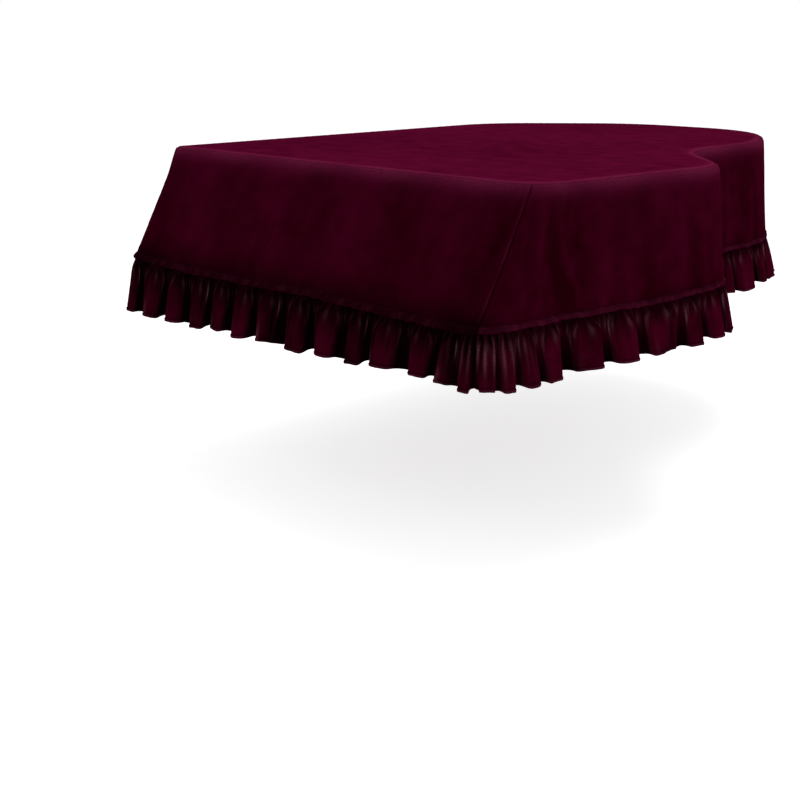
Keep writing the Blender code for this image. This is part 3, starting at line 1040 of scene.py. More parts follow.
@dataclass
class TopPanel:
    """The top, laid flat on the lid and sewn to the drops on its rounded edge."""

    walls: Walls
    finishes: list[bpy.types.Material]
    step: float = 0.0125
    flat_rows: int = 50
    edge_rows: int = 9
    centre: tuple[float, float] = (-0.13, -0.16)
    flat: tuple[float, float] = (1.58, 1.96)
    flat_area: float = 2.56
    allowance: float = 0.006

    def relief(self, x: Array, y: Array, inside: Array, distance: Array) -> Array:
        """How far the cloth lies off the lid.

        Args:
            x: Places across the lid.
            y: Places along the lid.
            inside: How far they lie inside the rim.
            distance: Distances round the cover of the nearest places on the hem.

        Returns:
            Heights in metres.
        """
        broad = Unevenness(0.62, 0.0010, 1.0).at(x, y)
        small = Unevenness(0.17, 0.00035, 2.0).at(x, y)
        drag = np.sin(distance * 47 + 1.9 * np.sin(distance * 11)) * np.exp(-inside / 0.055)
        rise = soft_step(inside, 0.0, 0.05)
        return (broad + small) * rise + 0.0005 * drag * soft_step(inside, 0.004, 0.03) + 0.0006 * rise

    def build(self) -> bpy.types.Object:
        """The top's cloth, from its centre out to the seam on the rim.

        Returns:
            The top's object.
        """
        sizes = self.walls.sizes
        count = round(self.walls.girth / self.step)
        distance = self.walls.far + self.walls.girth * np.arange(count) / count
        sections = self.walls.at(distance)
        flat_start = self.walls.rim_points(sections, np.zeros((1, count)), np.zeros((1, count)))[0]
        centre = np.array([*self.centre, 0.0])
        shares = 1 - (1 - np.linspace(0.03, 1.0, self.flat_rows)) ** 1.35
        plan = centre[:2] + (flat_start[None, :, :2] - centre[:2]) * shares[:, None, None]
        inside = np.linalg.norm(flat_start[None, :, :2] - plan, axis=-1)
        lift = self.relief(plan[..., 0], plan[..., 1], inside, distance)
        flat = np.concatenate([plan, (sizes.thickness + lift)[..., None]], axis=-1)
        angle = sizes.top_seam_angle * np.linspace(0, 1, self.edge_rows + 1)[1:, None]
        angle = angle * np.ones((1, count))
        to_seam = (sizes.top_seam_angle - angle) * sizes.rim_radius
        sink = 0.0006 * bell(to_seam, 0.0052, 0.003) - 0.0011 * np.exp(-to_seam / 0.0016)
        edge = self.walls.rim_points(sections, angle, sink * seam_pucker(distance))
        edge = np.concatenate([edge, edge[-1:] + inward_rows(sections, angle)[-1:] * self.allowance])
        angle = np.concatenate([angle, angle[-1:] + self.allowance / sizes.rim_radius])
        to_seam = np.abs(to_seam.min() + (sizes.top_seam_angle - angle) * sizes.rim_radius)
        unrolled = flat_start[None, :, :2] + sections.rim_outward * (sizes.rim_radius * angle)[..., None]
        points = np.concatenate([flat, edge])
        uv = np.concatenate([plan, unrolled])
        depth = np.concatenate([inside, -sizes.rim_radius * angle])
        uneven = Unevenness(0.9, 0.16, 7.0).at(uv[..., 0], uv[..., 1])
        # Painted highlight along the rounded rim, with some rub, and the nap lighter towards the edge;
        # painted shade in the seam's groove.
        wear_and_highlight = RIM_RUB_AND_HIGHLIGHT * soft_step(-depth, -0.022, 0.006) * rim_patches(distance)
        nap_and_light = 0.15 + uneven + 0.35 * soft_step(-depth, -0.05, 0.0)
        shade = np.concatenate([np.zeros_like(inside), SEAM_SHADE * np.exp(-to_seam / 0.0013)])
        middle = np.array([*self.centre, sizes.thickness + float(lift[0].mean())])
        grid = ClothGrid(points, uv, nap_and_light, wear_and_highlight, shade, closed=True, centre=middle)
        piece = grid.build("top_cloth", sizes.thickness, self.finishes)
        dress(piece, "top_panel")
        return piece


class Place(Enum):
    """Where a piece of the walls hangs."""

    FRONT = "front"
    BENTSIDE = "bentside"
    SPINE = "spine"


def span_of(walls: Walls, place: Place) -> tuple[float, float]:
    """Distances at which a piece of the walls begins and ends.

    Args:
        walls: The cover's walls.
        place: Where the piece hangs.

    Returns:
        The two distances.
    """
    spans = {
        Place.FRONT: (walls.far, 0.0),
        Place.BENTSIDE: (0.0, walls.tail),
        Place.SPINE: (walls.tail, walls.far + walls.girth),
    }
    return spans[place]


# How strongly the hem's lip is paled, evenly and in patches: a painted highlight along the rolled lip,
# with some rub.
LIP_RUB_AND_HIGHLIGHT = {Place.FRONT: (0.14, 0.70), Place.BENTSIDE: (0.34, 0.42), Place.SPINE: (0.34, 0.42)}


def rim_patches(distance: Array) -> Array:
    """How unevenly the rim's cloth is rubbed and carries its painted highlight, at distances round the
    cover.
    """
    return 0.7 + 0.3 * np.sin(distance * 9.3) ** 2


def seam_pucker(distance: Array) -> Array:
    """How the seam on the rim puckers the cloth beside it, at distances round the cover."""
    return 1 + 0.4 * np.sin(distance * 190 + 1.4 * np.sin(distance * 31))


@dataclass
class Drop:
    """A side piece that hangs from the seam on the rim down to its turned-up hem."""

    walls: Walls
    place: Place
    finishes: list[bpy.types.Material]
    flat: tuple[float, float]
    step: float = 0.0068
    edge_rows: int = 11
    wall_rows: int = 37
    lip_rows: int = 13
    allowance: float = 0.006

    def build(self) -> bpy.types.Object:
        """The drop's cloth, from the seam on the rim down to its hem.

        Returns:
            The drop's object.
        """
        sizes = self.walls.sizes
        start, end = span_of(self.walls, self.place)
        distance = columns_between(start, end, self.step)
        sections = self.walls.at(distance)
        seam = sizes.top_seam_angle
        shares = (np.linspace(0.0, 1.0, self.edge_rows + 1)[:-1] ** 1.25)[:, None]
        angle = seam + (math.pi / 2 - self.walls.lean(sections) - seam) * shares
        from_seam = (angle - seam) * sizes.rim_radius
        lift = 0.0007 * bell(from_seam, 0.006, 0.0035) - 0.0012 * np.exp(-from_seam / 0.0017)
        edge = self.walls.rim_points(sections, angle, lift * seam_pucker(distance))
        lip = sizes.lip_height / sizes.wall_drop
        upper = np.linspace(0.0, 1 - lip, self.wall_rows + 1)
        lower = np.linspace(1 - lip, 1.0, self.lip_rows + 1)[1:]
        fall = np.concatenate([upper, lower])[:, None] * np.ones((1, len(distance)))
        wall = self.walls.wall_points(sections, fall)
        points = np.concatenate([edge, wall])
        steps = np.linalg.norm(np.diff(points, axis=0), axis=-1)
        down = np.concatenate([np.zeros((1, len(distance))), np.cumsum(steps, axis=0)])
        uv = pairs(np.broadcast_to(distance, down.shape), -down)
        share = np.concatenate([-0.1 * np.ones_like(angle), fall])
        trough = sum(fold.depth(distance, fall) for fold in (*MAIN_FOLDS, *FINE_FOLDS))
        trough = np.concatenate([np.zeros_like(angle), trough])
        grid = ClothGrid(points, uv, *self.looks(distance, down, share, trough))
        upright = np.broadcast_to(math.pi / 2 - self.walls.lean(sections), fall.shape)
        inward = inward_rows(sections, np.concatenate([angle, upright]))
        grid = with_allowances(grid, inward, self.allowance, top=True)
        piece = grid.build(f"{self.place.value}_cloth", sizes.thickness, self.finishes)
        dress(piece, f"{self.place.value}_drop")
        return piece

    def looks(
        self, distance: Array, down: Array, share: Array, trough: Array
    ) -> tuple[Array, Array, Array]:
        """What the drop's velvet reads, with painted highlights and painted shade.

        Args:
            distance: Distances of the columns along the hem.
            down: How far the points lie below the seam, along the cloth.
            share: Their shares of the wall's fall, below zero on the rounded rim.
            trough: How deep the folds are at the points.

        Returns:
            The nap with painted light, the rubbed places with painted highlights, and the painted shade.
        """
        # Painted shade: a dark line just above the lip.
        nap_and_light = self.brushed(distance, down, trough) - 0.10 * bell(share, 0.915, 0.03)
        lip = self.walls.sizes.lip_height / self.walls.sizes.wall_drop
        lip_share = (share - (1 - lip)) / lip
        lip_face = bell(lip_share, 0.50, 0.26)
        patches = 0.5 + 0.5 * np.sin(distance * 83 + 2.0 * np.sin(distance * 29))
        patches = patches * (0.6 + 0.4 * np.sin(distance * 171 + 2.6 * np.sin(distance * 47)))
        plain, patchy = LIP_RUB_AND_HIGHLIGHT[self.place]
        # Painted highlight, with some rub: a pale band below the rim's seam and a pale line along the
        # lip.
        wear_and_highlight = RIM_RUB_AND_HIGHLIGHT * np.exp(-((down / 0.028) ** 2)) * rim_patches(distance)
        wear_and_highlight = wear_and_highlight + (plain + patchy * patches) * lip_face
        # Painted highlight on the ridge beside the near corner's seam.
        broken = 0.35 + 0.65 * np.sin(share * 9.1 + 0.6) ** 2
        seam_ridge_highlight = bell(distance, -0.007, 0.0045) * soft_step(share, 0.02, 0.2)
        wear_and_highlight = wear_and_highlight + 0.20 * broken * seam_ridge_highlight
        # Painted shade in the seam's groove on the rim, under the lip, in the upright seams and over the
        # lip's face.
        shade = SEAM_SHADE * np.exp(-down / 0.0013) + 0.75 * soft_step(lip_share, 0.74, 1.02)
        seams = (self.walls.far, 0.0, self.walls.tail, self.walls.far + self.walls.girth)
        shade = shade + sum(0.5 * bell(distance, seam, 0.0028) for seam in seams)
        shade = shade + 0.22 * bell(lip_share, 0.08, 0.12) + 0.60 * lip_face
        # Painted shadow at the foot of the near corner, just above the hem.
        corner = 0.66 * bell(distance, -0.035, 0.075) * soft_step(share, 0.84, 0.97)
        shade = 1 - (1 - shade.clip(0, 1)) * (1 - corner)
        # Painted shade over the lower front wall, deepest towards the far corner.
        if self.place is Place.FRONT:
            under = 0.62 + 0.30 * bell(distance, self.walls.far, 0.14)
            shade = 1 - (1 - shade.clip(0, 1)) * (1 - under * soft_step(share, 0.70, 0.98))
        return nap_and_light, np.clip(wear_and_highlight, 0, 1), np.clip(shade, 0, 1)

    def brushed(self, distance: Array, down: Array, trough: Array) -> Array:
        """How the nap is brushed over the drop, with painted light and shade on top of it.

        Args:
            distance: Distances of the columns along the hem.
            down: How far the points lie below the seam, along the cloth.
            trough: How deep the folds are at the points.

        Returns:
            The nap, from about -1 where it looks deep to 1 where it looks lit.
        """
        uneven = Unevenness(0.36, 0.22, 11.0, stretch=1.6).at(distance, down)
        slope = np.gradient(trough, distance, axis=1)
        # Painted shade in the folds' troughs, and painted light and shade on their flanks by their
        # slope.
        uneven = uneven - 70.0 * trough.clip(-0.004, 0.005) + 1.6 * slope.clip(-0.2, 0.2)
        # Painted shade on the wall round the tail, and a painted highlight just below the rim.
        tail_shade = soft_step(distance, 1.55, 1.9) * (1 - soft_step(distance, 3.4, 3.7))
        nap_and_light = -0.14 + uneven + 0.75 * np.exp(-down / 0.035) - 0.55 * tail_shade
        # Painted highlight fading down the front wall from its rim.
        if self.place is Place.FRONT:
            nap_and_light = nap_and_light + 0.42 * np.exp(-down / 0.11)
        return nap_and_light


@dataclass(frozen=True)
class RuffleSizes:
    """The sizes of the gathered strip and its pleats."""

    thickness: float = 0.0015
    header: float = 0.009
    setback: float = 0.0075
    flare: float = 0.023
    heading_inset: float = 0.0045
    gap_rise: float = 0.004
    seam_height: float = 0.6
    pleat_depth: float = 0.042
    pitch: float = 0.118
    corner_crowding: float = 0.45
    crowding_reach: float = 0.13
    lengths: tuple[tuple[float, float], ...] = (
        (-1.55, 0.172),
        (-1.36, 0.156),
        (-0.85, 0.142),
        (-0.60, 0.145),
        (-0.32, 0.132),
        (-0.17, 0.118),
        (-0.06, 0.126),
        (0.02, 0.134),
        (0.12, 0.140),
        (0.22, 0.136),
        (0.50, 0.127),
        (1.50, 0.130),
        (4.40, 0.130),
        (5.15, 0.156),
    )
    widths: tuple[float, ...] = (1.16, 1.02, 0.92, 0.90, 1.08, 0.84, 1.20, 0.80, 1.04)
    heights: tuple[float, ...] = (1.0, 0.82, 1.1, 0.9, 1.05)
    bottoms: tuple[float, ...] = (0.0, 0.005, -0.003, 0.004, -0.004, 0.002)


@dataclass(frozen=True)
class StripShade:
    """How deep the painted shade lies on a strip of the ruffle, from 0 to 1, and how strong its low
    painted highlights are.
    """

    heading: float
    panel: float
    reach: float
    gap_top: float
    gap_bottom: float
    gap_width: float
    low_wear_and_highlight: float


UNDER_FRONT = StripShade(0.92, 0.22, 0.90, 0.90, 0.97, 0.30, 0.42)
UNDER_SIDE = StripShade(0.78, 0.05, 0.50, 0.12, 0.86, 0.10, 0.06)

FRONT_PLEATS = (
    0.096, 0.133, 0.108, 0.121, 0.086, 0.109, 0.133, 0.113, 0.126, 0.097, 0.129, 0.120, 0.064, 0.047
)
SIDE_PLEATS = (0.049, 0.055, 0.070, 0.109, 0.136, 0.138, 0.186, 0.071, 0.110)


@dataclass
class Ruffle:
    """A gathered strip that hangs from behind the hem in rounded pleats with narrow gaps."""

    walls: Walls
    place: Place
    pleats: tuple[float, ...]
    finishes: list[bpy.types.Material]
    flat: tuple[float, float]
    sizes: RuffleSizes = field(default_factory=RuffleSizes)
    column_step: float = 0.0039
    far_factor: float = 1.7
    rows: int = 27
    allowance: float = 0.006

    @property
    def dark(self) -> StripShade:
        """The strip's painted shade, deepest under the slanting front."""
        return UNDER_FRONT if self.place is Place.FRONT else UNDER_SIDE

    def pleat_widths(self, start: float, end: float) -> Array:
        """Widths of the strip's pleats: the measured ones, then the pattern over the rest.

        Args:
            start: Where the strip begins along the hem.
            end: Where it ends.

        Returns:
            The widths in order, which fill the strip.
        """
        measured = np.array(self.pleats)
        rest_start = start + measured.sum()
        if rest_start > end - self.sizes.pitch:
            return measured * (end - start) / measured.sum()
        corners = (0.0, self.walls.far, self.walls.far + self.walls.girth)
        rest: list[float] = []
        reached = rest_start
        while reached < end:
            nearest = min(abs(reached - corner) for corner in corners)
            crowding = math.exp(-((nearest / self.sizes.crowding_reach) ** 2))
            width = self.sizes.pitch * self.sizes.widths[len(rest) % len(self.sizes.widths)]
            rest.append(width * (1 - self.sizes.corner_crowding * crowding))
            reached += rest[-1]
        return np.concatenate([measured, np.array(rest) * (end - rest_start) / sum(rest)])

    def build(self) -> bpy.types.Object:
        """The strip's cloth, from its heading behind the hem down to its lower edge.

        Returns:
            The strip's object.
        """
        sizes = self.sizes
        start, end = span_of(self.walls, self.place)
        widths = self.pleat_widths(start, end)
        valleys = start + np.concatenate([[0.0], np.cumsum(widths)])
        steps = self.column_step * np.where(np.abs(valleys[:-1]) < 1.7, 1.0, self.far_factor)
        counts = np.maximum(22, np.round(widths * 1.7 / steps)).astype(int)
        number = np.repeat(np.arange(len(widths)), counts)
        phase = np.concatenate([np.arange(n) / n for n in counts])
        number = np.append(number, len(widths) - 1)
        phase = np.append(phase, 1.0)
        fall = self.falls()[:, None]
        place = self.spread(number, phase, fall)
        distance = valleys[number] + widths[number] * place
        drift = 0.011 * np.sin(np.arange(len(valleys)) * 2.4 + 0.7)
        drift[0] = drift[-1] = 0.0
        distance = distance + fall.clip(0) * (drift[number] * (1 - place) + drift[number + 1] * place)
        rise = self.rise(number, phase, fall)
        points = self.points(distance, rise, number, widths, phase, fall)
        spread = np.linalg.norm(np.diff(points[-1], axis=0), axis=-1)
        along = np.concatenate([[0.0], np.cumsum(spread)])
        steps = np.linalg.norm(np.diff(points, axis=0), axis=-1).mean(axis=1)
        down = np.concatenate([[0.0], np.cumsum(steps)])
        shape = distance.shape
        uv = pairs(np.broadcast_to(along, shape), np.broadcast_to(-down[:, None], shape))
        nap_and_light, wear_and_highlight, shade = self.looks(number, phase, fall, rise, distance)
        grid = ClothGrid(points, uv, nap_and_light, wear_and_highlight, shade)
        inward = inward_rows(self.walls.at(distance), np.full(distance.shape, math.pi / 2))
        grid = with_allowances(grid, inward, self.allowance, top=False)
        piece = grid.build(f"{self.place.value}_frill", sizes.thickness, self.finishes)
        dress(piece, f"{self.place.value}_ruffle")
        LOG.info("%s: %d pleats, %.2f m along its lower edge", piece.name, len(widths), along[-1])
        return piece

    def falls(self) -> Array:
        """Shares of the strip's length at its rows, below zero in the heading behind the hem.

        Returns:
            The shares, from the top row down.
        """
        heading = np.array([-1.0, -0.5]) * self.sizes.header / 0.135
        body = np.linspace(0.0, 0.91, self.rows) ** 1.08
        return np.concatenate([heading, body, np.linspace(0.925, 1.0, 8)])

    def spread(self, number: Array, phase: Array, fall: Array) -> Array:
        """Where the points of a pleat lie across it: its panel is wide and the gap beside it narrow.

        Args:
            number: The pleat of each column.
            phase: The column's share of the cloth in its pleat.
            fall: The rows' shares of the strip's length.

        Returns:
            Shares of the pleat's width.
        """
        grown = soft_step(fall, -0.02, 0.30)
        gap = (0.86 - 0.58 * fall.clip(0)) * grown
        gap = gap * (1 + 0.12 * np.sin(number * 1.7 + 0.4))
        tuck = (0.62 + 0.25 * fall.clip(0) + 0.16 * np.sin(number * 3.3 + 2.0)) * grown
        skew = 0.05 * np.sin(number * 2.9 + 1.1) * grown
        place = phase - gap / math.tau * np.sin(math.tau * phase)
        place = place + tuck / (2 * math.tau) * np.sin(2 * math.tau * phase)
        return place + skew * np.sin(math.pi * phase) ** 2

    def rise(self, number: Array, phase: Array, fall: Array) -> Array:
        """How far the points stand out, from 0 in the gap to about 1 on the pleat's panel.

        Args:
            number: The pleat of each column.
            phase: The column's share of the cloth in its pleat.
            fall: The rows' shares of the strip's length.

        Returns:
            The rises, in rows.
        """
        crest = 0.5 - 0.5 * np.cos(math.tau * phase)
        crest = crest**0.85
        dish = 0.15 + 0.12 * np.sin(number * 2.3)
        lower = soft_step(fall, 0.05, 0.5)
        ripple = 0.11 * np.sin(math.tau * (1.5 * phase + 0.31 * number)) * crest
        creases = 0.09 * self.creases(number, phase, 0.028) * (1 - soft_step(fall, 0.55, 1.0))
        crest = crest - creases * lower
        return crest - dish * bell(phase, 0.5 + 0.06 * np.sin(number * 1.3), 0.13) + ripple * lower

    def creases(self, number: Array, phase: Array, width: float) -> Array:
        """Fine creases that run down inside a pleat's panel, from 0 to 1, deepest in some pleats.

        Args:
            number: The pleat of each column.
            phase: The column's share of the cloth in its pleat.
            width: The creases' width, as a share of the cloth in a pleat.

        Returns:
            The creases' depths at the columns.
        """
        first = bell(phase, 0.37 + 0.035 * np.sin(number * 1.9), width)
        second = bell(phase, 0.61 + 0.035 * np.sin(number * 3.1), width)
        first = first * (0.5 + 0.5 * np.sin(number * 2.7))
        return first + second * (0.5 + 0.5 * np.sin(number * 4.3 + 1))

    def points(
        self, distance: Array, rise: Array, number: Array, widths: Array, phase: Array, fall: Array
    ) -> Array:
        """Points of the strip, in rows from its heading down.

        Args:
            distance: Distances along the hem, in rows.
            rise: How far the points stand out, in rows.
            number: The pleat of each column.
            widths: The pleats' widths.
            phase: The column's share of the cloth in its pleat.
            fall: The rows' shares of the strip's length.

        Returns:
            The points.
        """
        sizes = self.sizes
        joined = self.joined(number, phase)
        heights = np.array(sizes.heights)[number % len(sizes.heights)]
        heights = heights * np.minimum(1.0, widths[number] / sizes.pitch + 0.25)
        heights = heights + (sizes.seam_height - heights) * joined
        waves = self.bottom_waves(number, phase) * (1 - joined)
        rows = []
        for row, share in enumerate(fall[:, 0]):
            hung = max(0.0, float(share))
            sections = self.walls.at(distance[row])
            hem = self.walls.wall_points(sections, np.full((1, distance.shape[1]), HEM_LINE))[0]
            edge = sections.hem + sections.hem_outward * hem_offset(hem, sections)[:, None]
            lengths = np.interp(distance[row], *np.array(sizes.lengths).T)
            lengths = lengths + waves - sizes.gap_rise * (1 - rise[row].clip(0, 1))
            deepening = 0.10 + 0.90 * hung**0.72
            relief = sizes.pleat_depth * heights * (rise[row] - 0.5) * deepening
            relief = relief + self.gathers(distance[row], hung)
            outset = sizes.flare * hung**0.95 - sizes.setback * math.exp(-hung / 0.10)
            outset = outset + relief * (1.0 if share >= 0 else 0.8)
            outset = outset + 0.0015 * math.exp(-(((hung - 0.965) / 0.018) ** 2))
            outset = outset - 0.0012 * math.exp(-(((hung - 0.93) / 0.008) ** 2))
            if share < 0:
                outset = np.minimum(outset, -sizes.heading_inset)
            plan = edge + sections.hem_outward * outset[:, None]
            height = self.walls.hem_height(sections) - lengths * share
            rows.append(np.concatenate([plan, height[:, None]], axis=-1))
        return np.stack(rows)

    def joined(self, number: Array, phase: Array) -> Array:
        """How near the columns are to the seams that join the strips end to end, from 0 to 1.

        Args:
            number: The pleat of each column.
            phase: The column's share of the cloth in its pleat.

        Returns:
            1 at the seams, and 0 from a third of a pleat away.
        """
        first = np.where(number == 0, 1 - soft_step(phase, 0.0, 0.3), 0.0)
        return first + np.where(number == number.max(), soft_step(phase, 0.7, 1.0), 0.0)

    def bottom_waves(self, number: Array, phase: Array) -> Array:
        """How the strip's lower edge rises and falls from pleat to pleat.

        Args:
            number: The pleat of each column.
            phase: The column's share of the cloth in its pleat.

        Returns:
            What the columns' lengths gain, in metres.
        """
        bottoms = np.array(self.sizes.bottoms)
        here = bottoms[number % len(bottoms)]
        after = bottoms[(number + 1) % len(bottoms)]
        return here + (after - here) * soft_step(phase, 0.7, 1.0)

    def gathers(self, distance: Array, hung: float) -> Array:
        """The small gathers under the hem, which die out down the strip.

        Args:
            distance: Distances along the hem.
            hung: The row's share of the strip's length.

        Returns:
            Heights in metres.
        """
        waves = np.sin(distance * 370 + 2.2 * np.sin(distance * 41))
        waves = waves + 0.8 * np.sin(distance * 253 + 1.7 * np.sin(distance * 57) + 1.0)
        small = 0.0022 * waves * math.exp(-hung / 0.26)
        return small + 0.0036 * self.corner_gathers(distance) * math.exp(-hung / 0.8)

    def corner_gathers(self, distance: Array) -> Array:
        """The close gathers that carry the strip round the near corner, from -1 to 1.

        Args:
            distance: Distances along the hem.

        Returns:
            The gathers, which are 0 away from the corner.
        """
        near = bell(distance, 0.02, 0.12)
        return near * np.sin(math.tau * distance / 0.0195 + 1.1 * np.sin(distance * 47))

    def looks(
        self, number: Array, phase: Array, fall: Array, rise: Array, distance: Array
    ) -> tuple[Array, Array, Array]:
        """What the velvet reads: its nap with painted light across the pleats, its worn ridges with
        painted highlights, and painted shade in its gaps, creases and under the hem.

        Args:
            number: The pleat of each column.
            phase: The column's share of the cloth in its pleat.
            fall: The rows' shares of the strip's length.
            rise: How far the points stand out, in rows.
            distance: Distances along the hem, in rows.

        Returns:
            The nap with painted light, the rubbed places with painted highlights, and the painted shade.
        """
        hung = fall.clip(0)
        # Painted highlights, with some rub: pale streaks at the pleats' edges under the heading and
        # small streaks above them.
        side = np.where(phase < 0.5, np.sin(number * 3.7 + 0.9), np.sin(number * 4.1 + 2.2))
        edges = bell(phase, 0.225, 0.032) + bell(phase, 0.775, 0.032)
        bright = (0.25 + 0.75 * np.clip(side, 0, 1)) * edges
        wear_and_highlight = 1.2 * bright * bell(hung, 0.30 + 0.05 * np.sin(number * 2.1), 0.16)
        wear_and_highlight = wear_and_highlight + 0.10 * edges * hung
        turns = phase * (4.3 + 0.8 * np.sin(number * 1.9)) + 0.37 * number
        small = np.sin(math.tau * turns).clip(0) ** 2
        wear_and_highlight = wear_and_highlight + 0.34 * small * bell(hung, 0.20, 0.12)
        near = bell(distance, 0.02, 0.12)
        # Painted highlights on the crests of the gathers round the near corner.
        gathered = self.corner_gathers(distance)
        wear_and_highlight = wear_and_highlight + 0.62 * gathered.clip(0) ** 2 * bell(hung, 0.38, 0.26)
        # Painted light: panels lighter where they stand out, the small gathers under the heading lit and
        # shaded in turn, one side of each pleat lighter than the other; the sine of the pleat's number
        # is a random tone.
        nap_and_light = -0.12 + (rise - 0.45) * soft_step(hung, 0.1, 0.5) + 0.36 * np.sin(number * 2.6)
        nap_and_light = nap_and_light + 0.45 * np.sin(math.tau * phase * 6 + number) * np.exp(-hung / 0.45)
        nap_and_light = nap_and_light - 0.35 * np.sin(math.tau * phase) * np.sin(number * 5.1 + 0.5)
        # Painted shade in the gaps between the pleats, deepening downwards, under the hem's heading, in
        # the gathers' troughs and in the creases.
        dark = self.dark
        gap = 1 - soft_step((rise - dark.gap_width - 0.14 * hung) / 0.58, 0.0, 1.0)
        deepening = dark.gap_top + (dark.gap_bottom - dark.gap_top) * soft_step(hung, 0.25, 0.80)
        gap = gap * deepening * (1 - 0.5 * near)
        under = 1 - soft_step(hung, -0.05, dark.reach)
        under = under * (0.55 + 0.45 * soft_step(hung, 0.0, 0.09))
        panel = dark.panel + (dark.heading - dark.panel) * under
        shade = 1 - (1 - gap) * (1 - panel)
        shade = shade + 0.45 * (-gathered).clip(0) * (1 - 0.6 * hung)
        shade = shade + 0.40 * self.creases(number, phase, 0.024) * (1 - soft_step(hung, 0.5, 0.95))
        # Painted highlight on the rolled lower edge, and pale streaks low on the panels, with some rub.
        wear_and_highlight = wear_and_highlight + 0.16 * bell(hung, 0.972, 0.016) * rise.clip(0, 1)
        lower = bell(phase, 0.34 + 0.10 * np.sin(number * 2.2), 0.030)
        lower = lower * np.sin(number * 1.7 + 0.5) ** 2
        wear_and_highlight = wear_and_highlight + dark.low_wear_and_highlight * lower * bell(hung, 0.86, 0.17)
        # The painted highlights show through the painted shade; then painted shade in the hem's stitched
        # groove.
        shade = shade.clip(0, 1) * (1 - 0.40 * wear_and_highlight.clip(0, 1))
        shade = shade + 0.35 * bell(hung, 0.93, 0.008)
        return nap_and_light, np.clip(wear_and_highlight, 0, 1), np.clip(shade, 0, 0.97)


def hem_offset(points: Array, sections: Sections) -> Array:
    """How far wall points stand out from the hem's plain line.

    Args:
        points: One point of the wall for each section, at the hem line's level.
        sections: Sections of the walls.

    Returns:
        Distances in metres.
    """
    start = sections.rim + (sections.hem - sections.rim) * HEM_LINE
    return ((points[:, :2] - start) * sections.hem_outward).sum(axis=-1)


@dataclass
class HemStitches:
    """The row of stitches that holds up a drop's hem and the ruffle behind it."""

    walls: Walls
    place: Place
    finish: bpy.types.Material
    pitch: float = 0.0056
    length: float = 0.0042
    radius: float = 0.00042
    share: float = 0.945

    def model_stitch(self) -> tuple[Array, list[list[int]]]:
        """One stitch, modelled as a short bar that arches out of the cloth and dips back into it.

        Returns:
            Its points and its faces.
        """
        bpy.ops.object.select_all(action="DESELECT")
        bpy.ops.mesh.primitive_cylinder_add(
            vertices=5,
            radius=self.radius,
            depth=self.length,
            end_fill_type="TRIFAN",
            rotation=(0, math.pi / 2, 0),
        )
        stitch = bpy.context.active_object
        bpy.ops.object.transform_apply(location=False, rotation=True, scale=False)
        bpy.ops.object.mode_set(mode="EDIT")
        bpy.ops.mesh.select_all(action="DESELECT")
        bpy.ops.object.mode_set(mode="OBJECT")
        for edge in stitch.data.edges:
            ends = [stitch.data.vertices[i].co for i in edge.vertices]
            edge.select = abs(ends[0].x - ends[1].x) > self.length * 0.9
        bpy.ops.object.mode_set(mode="EDIT")
        bpy.ops.mesh.select_mode(type="EDGE")
        bpy.ops.mesh.subdivide(number_cuts=3)
        for share, rise in ((0.0, 0.00050), (0.5, 0.00034), (1.0, -0.00030)):
            bpy.ops.mesh.select_all(action="DESELECT")
            bpy.ops.mesh.select_mode(type="VERT")
            bpy.ops.object.mode_set(mode="OBJECT")
            for vertex in stitch.data.vertices:
                vertex.select = abs(abs(vertex.co.x) - share * self.length / 2) < self.length * 0.06
            bpy.ops.object.mode_set(mode="EDIT")
            bpy.ops.transform.translate(value=(0, 0, rise))
        bpy.ops.object.mode_set(mode="OBJECT")
        points = np.array([vertex.co for vertex in stitch.data.vertices])
        faces = [list(polygon.vertices) for polygon in stitch.data.polygons]
        bpy.data.objects.remove(stitch)
        return points, faces

    def build(self) -> bpy.types.Object:
        """A copy of the stitch at each place along the hem, as one piece.

        Returns:
            The stitches' object.
        """
        points, faces = self.model_stitch()
        start, end = span_of(self.walls, self.place)
        count = int((end - start - 0.012) / self.pitch)
        distance = np.linspace(start + 0.006, end - 0.006, count)
        fall = np.full((1, count), self.share)
        here = self.walls.wall_points(self.walls.at(distance), fall)[0]
        after = self.walls.wall_points(self.walls.at(distance + 0.002), fall)[0]
        above = self.walls.wall_points(self.walls.at(distance), fall - 0.01)[0]
        along = unit(after - here)
        up = unit(above - here)
        out = unit(np.cross(along, up))
        side = np.cross(out, along)
        placed = here[:, None] + along[:, None] * points[None, :, 0:1]
        placed = placed + side[:, None] * points[None, :, 1:2] + out[:, None] * points[None, :, 2:3]
        size = len(points)
        all_faces = [[v + size * i for v in face] for i in range(count) for face in faces]
        name = f"{self.place.value}_hem_stitches"
        mesh = bpy.data.meshes.new(name)
        mesh.from_pydata(placed.reshape(-1, 3).tolist(), [], all_faces)
        layer = mesh.uv_layers.new(name="cloth")
        corners = np.zeros(len(mesh.loops), np.int32)
        mesh.loops.foreach_get("vertex_index", corners)
        places = np.tile(points[:, :2], (count, 1))
        layer.data.foreach_set("uv", places[corners].astype(np.float32).reshape(-1))
        mesh.materials.append(self.finish)
        mesh.shade_smooth()
        piece = bpy.data.objects.new(name, mesh)
        bpy.context.scene.collection.objects.link(piece)
        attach(piece, ROOT)
        LOG.info("%s: %d stitches", name, count)
        return piece


STUDIO_LIGHTS = (
    ("overhead", (0.5, 0.4, 3.2), 2.8, 84.0),
    ("key", (-1.6, -3.6, 2.0), 1.6, 15.0),
    ("side", (3.6, -1.2, 1.8), 1.6, 10.0),
)


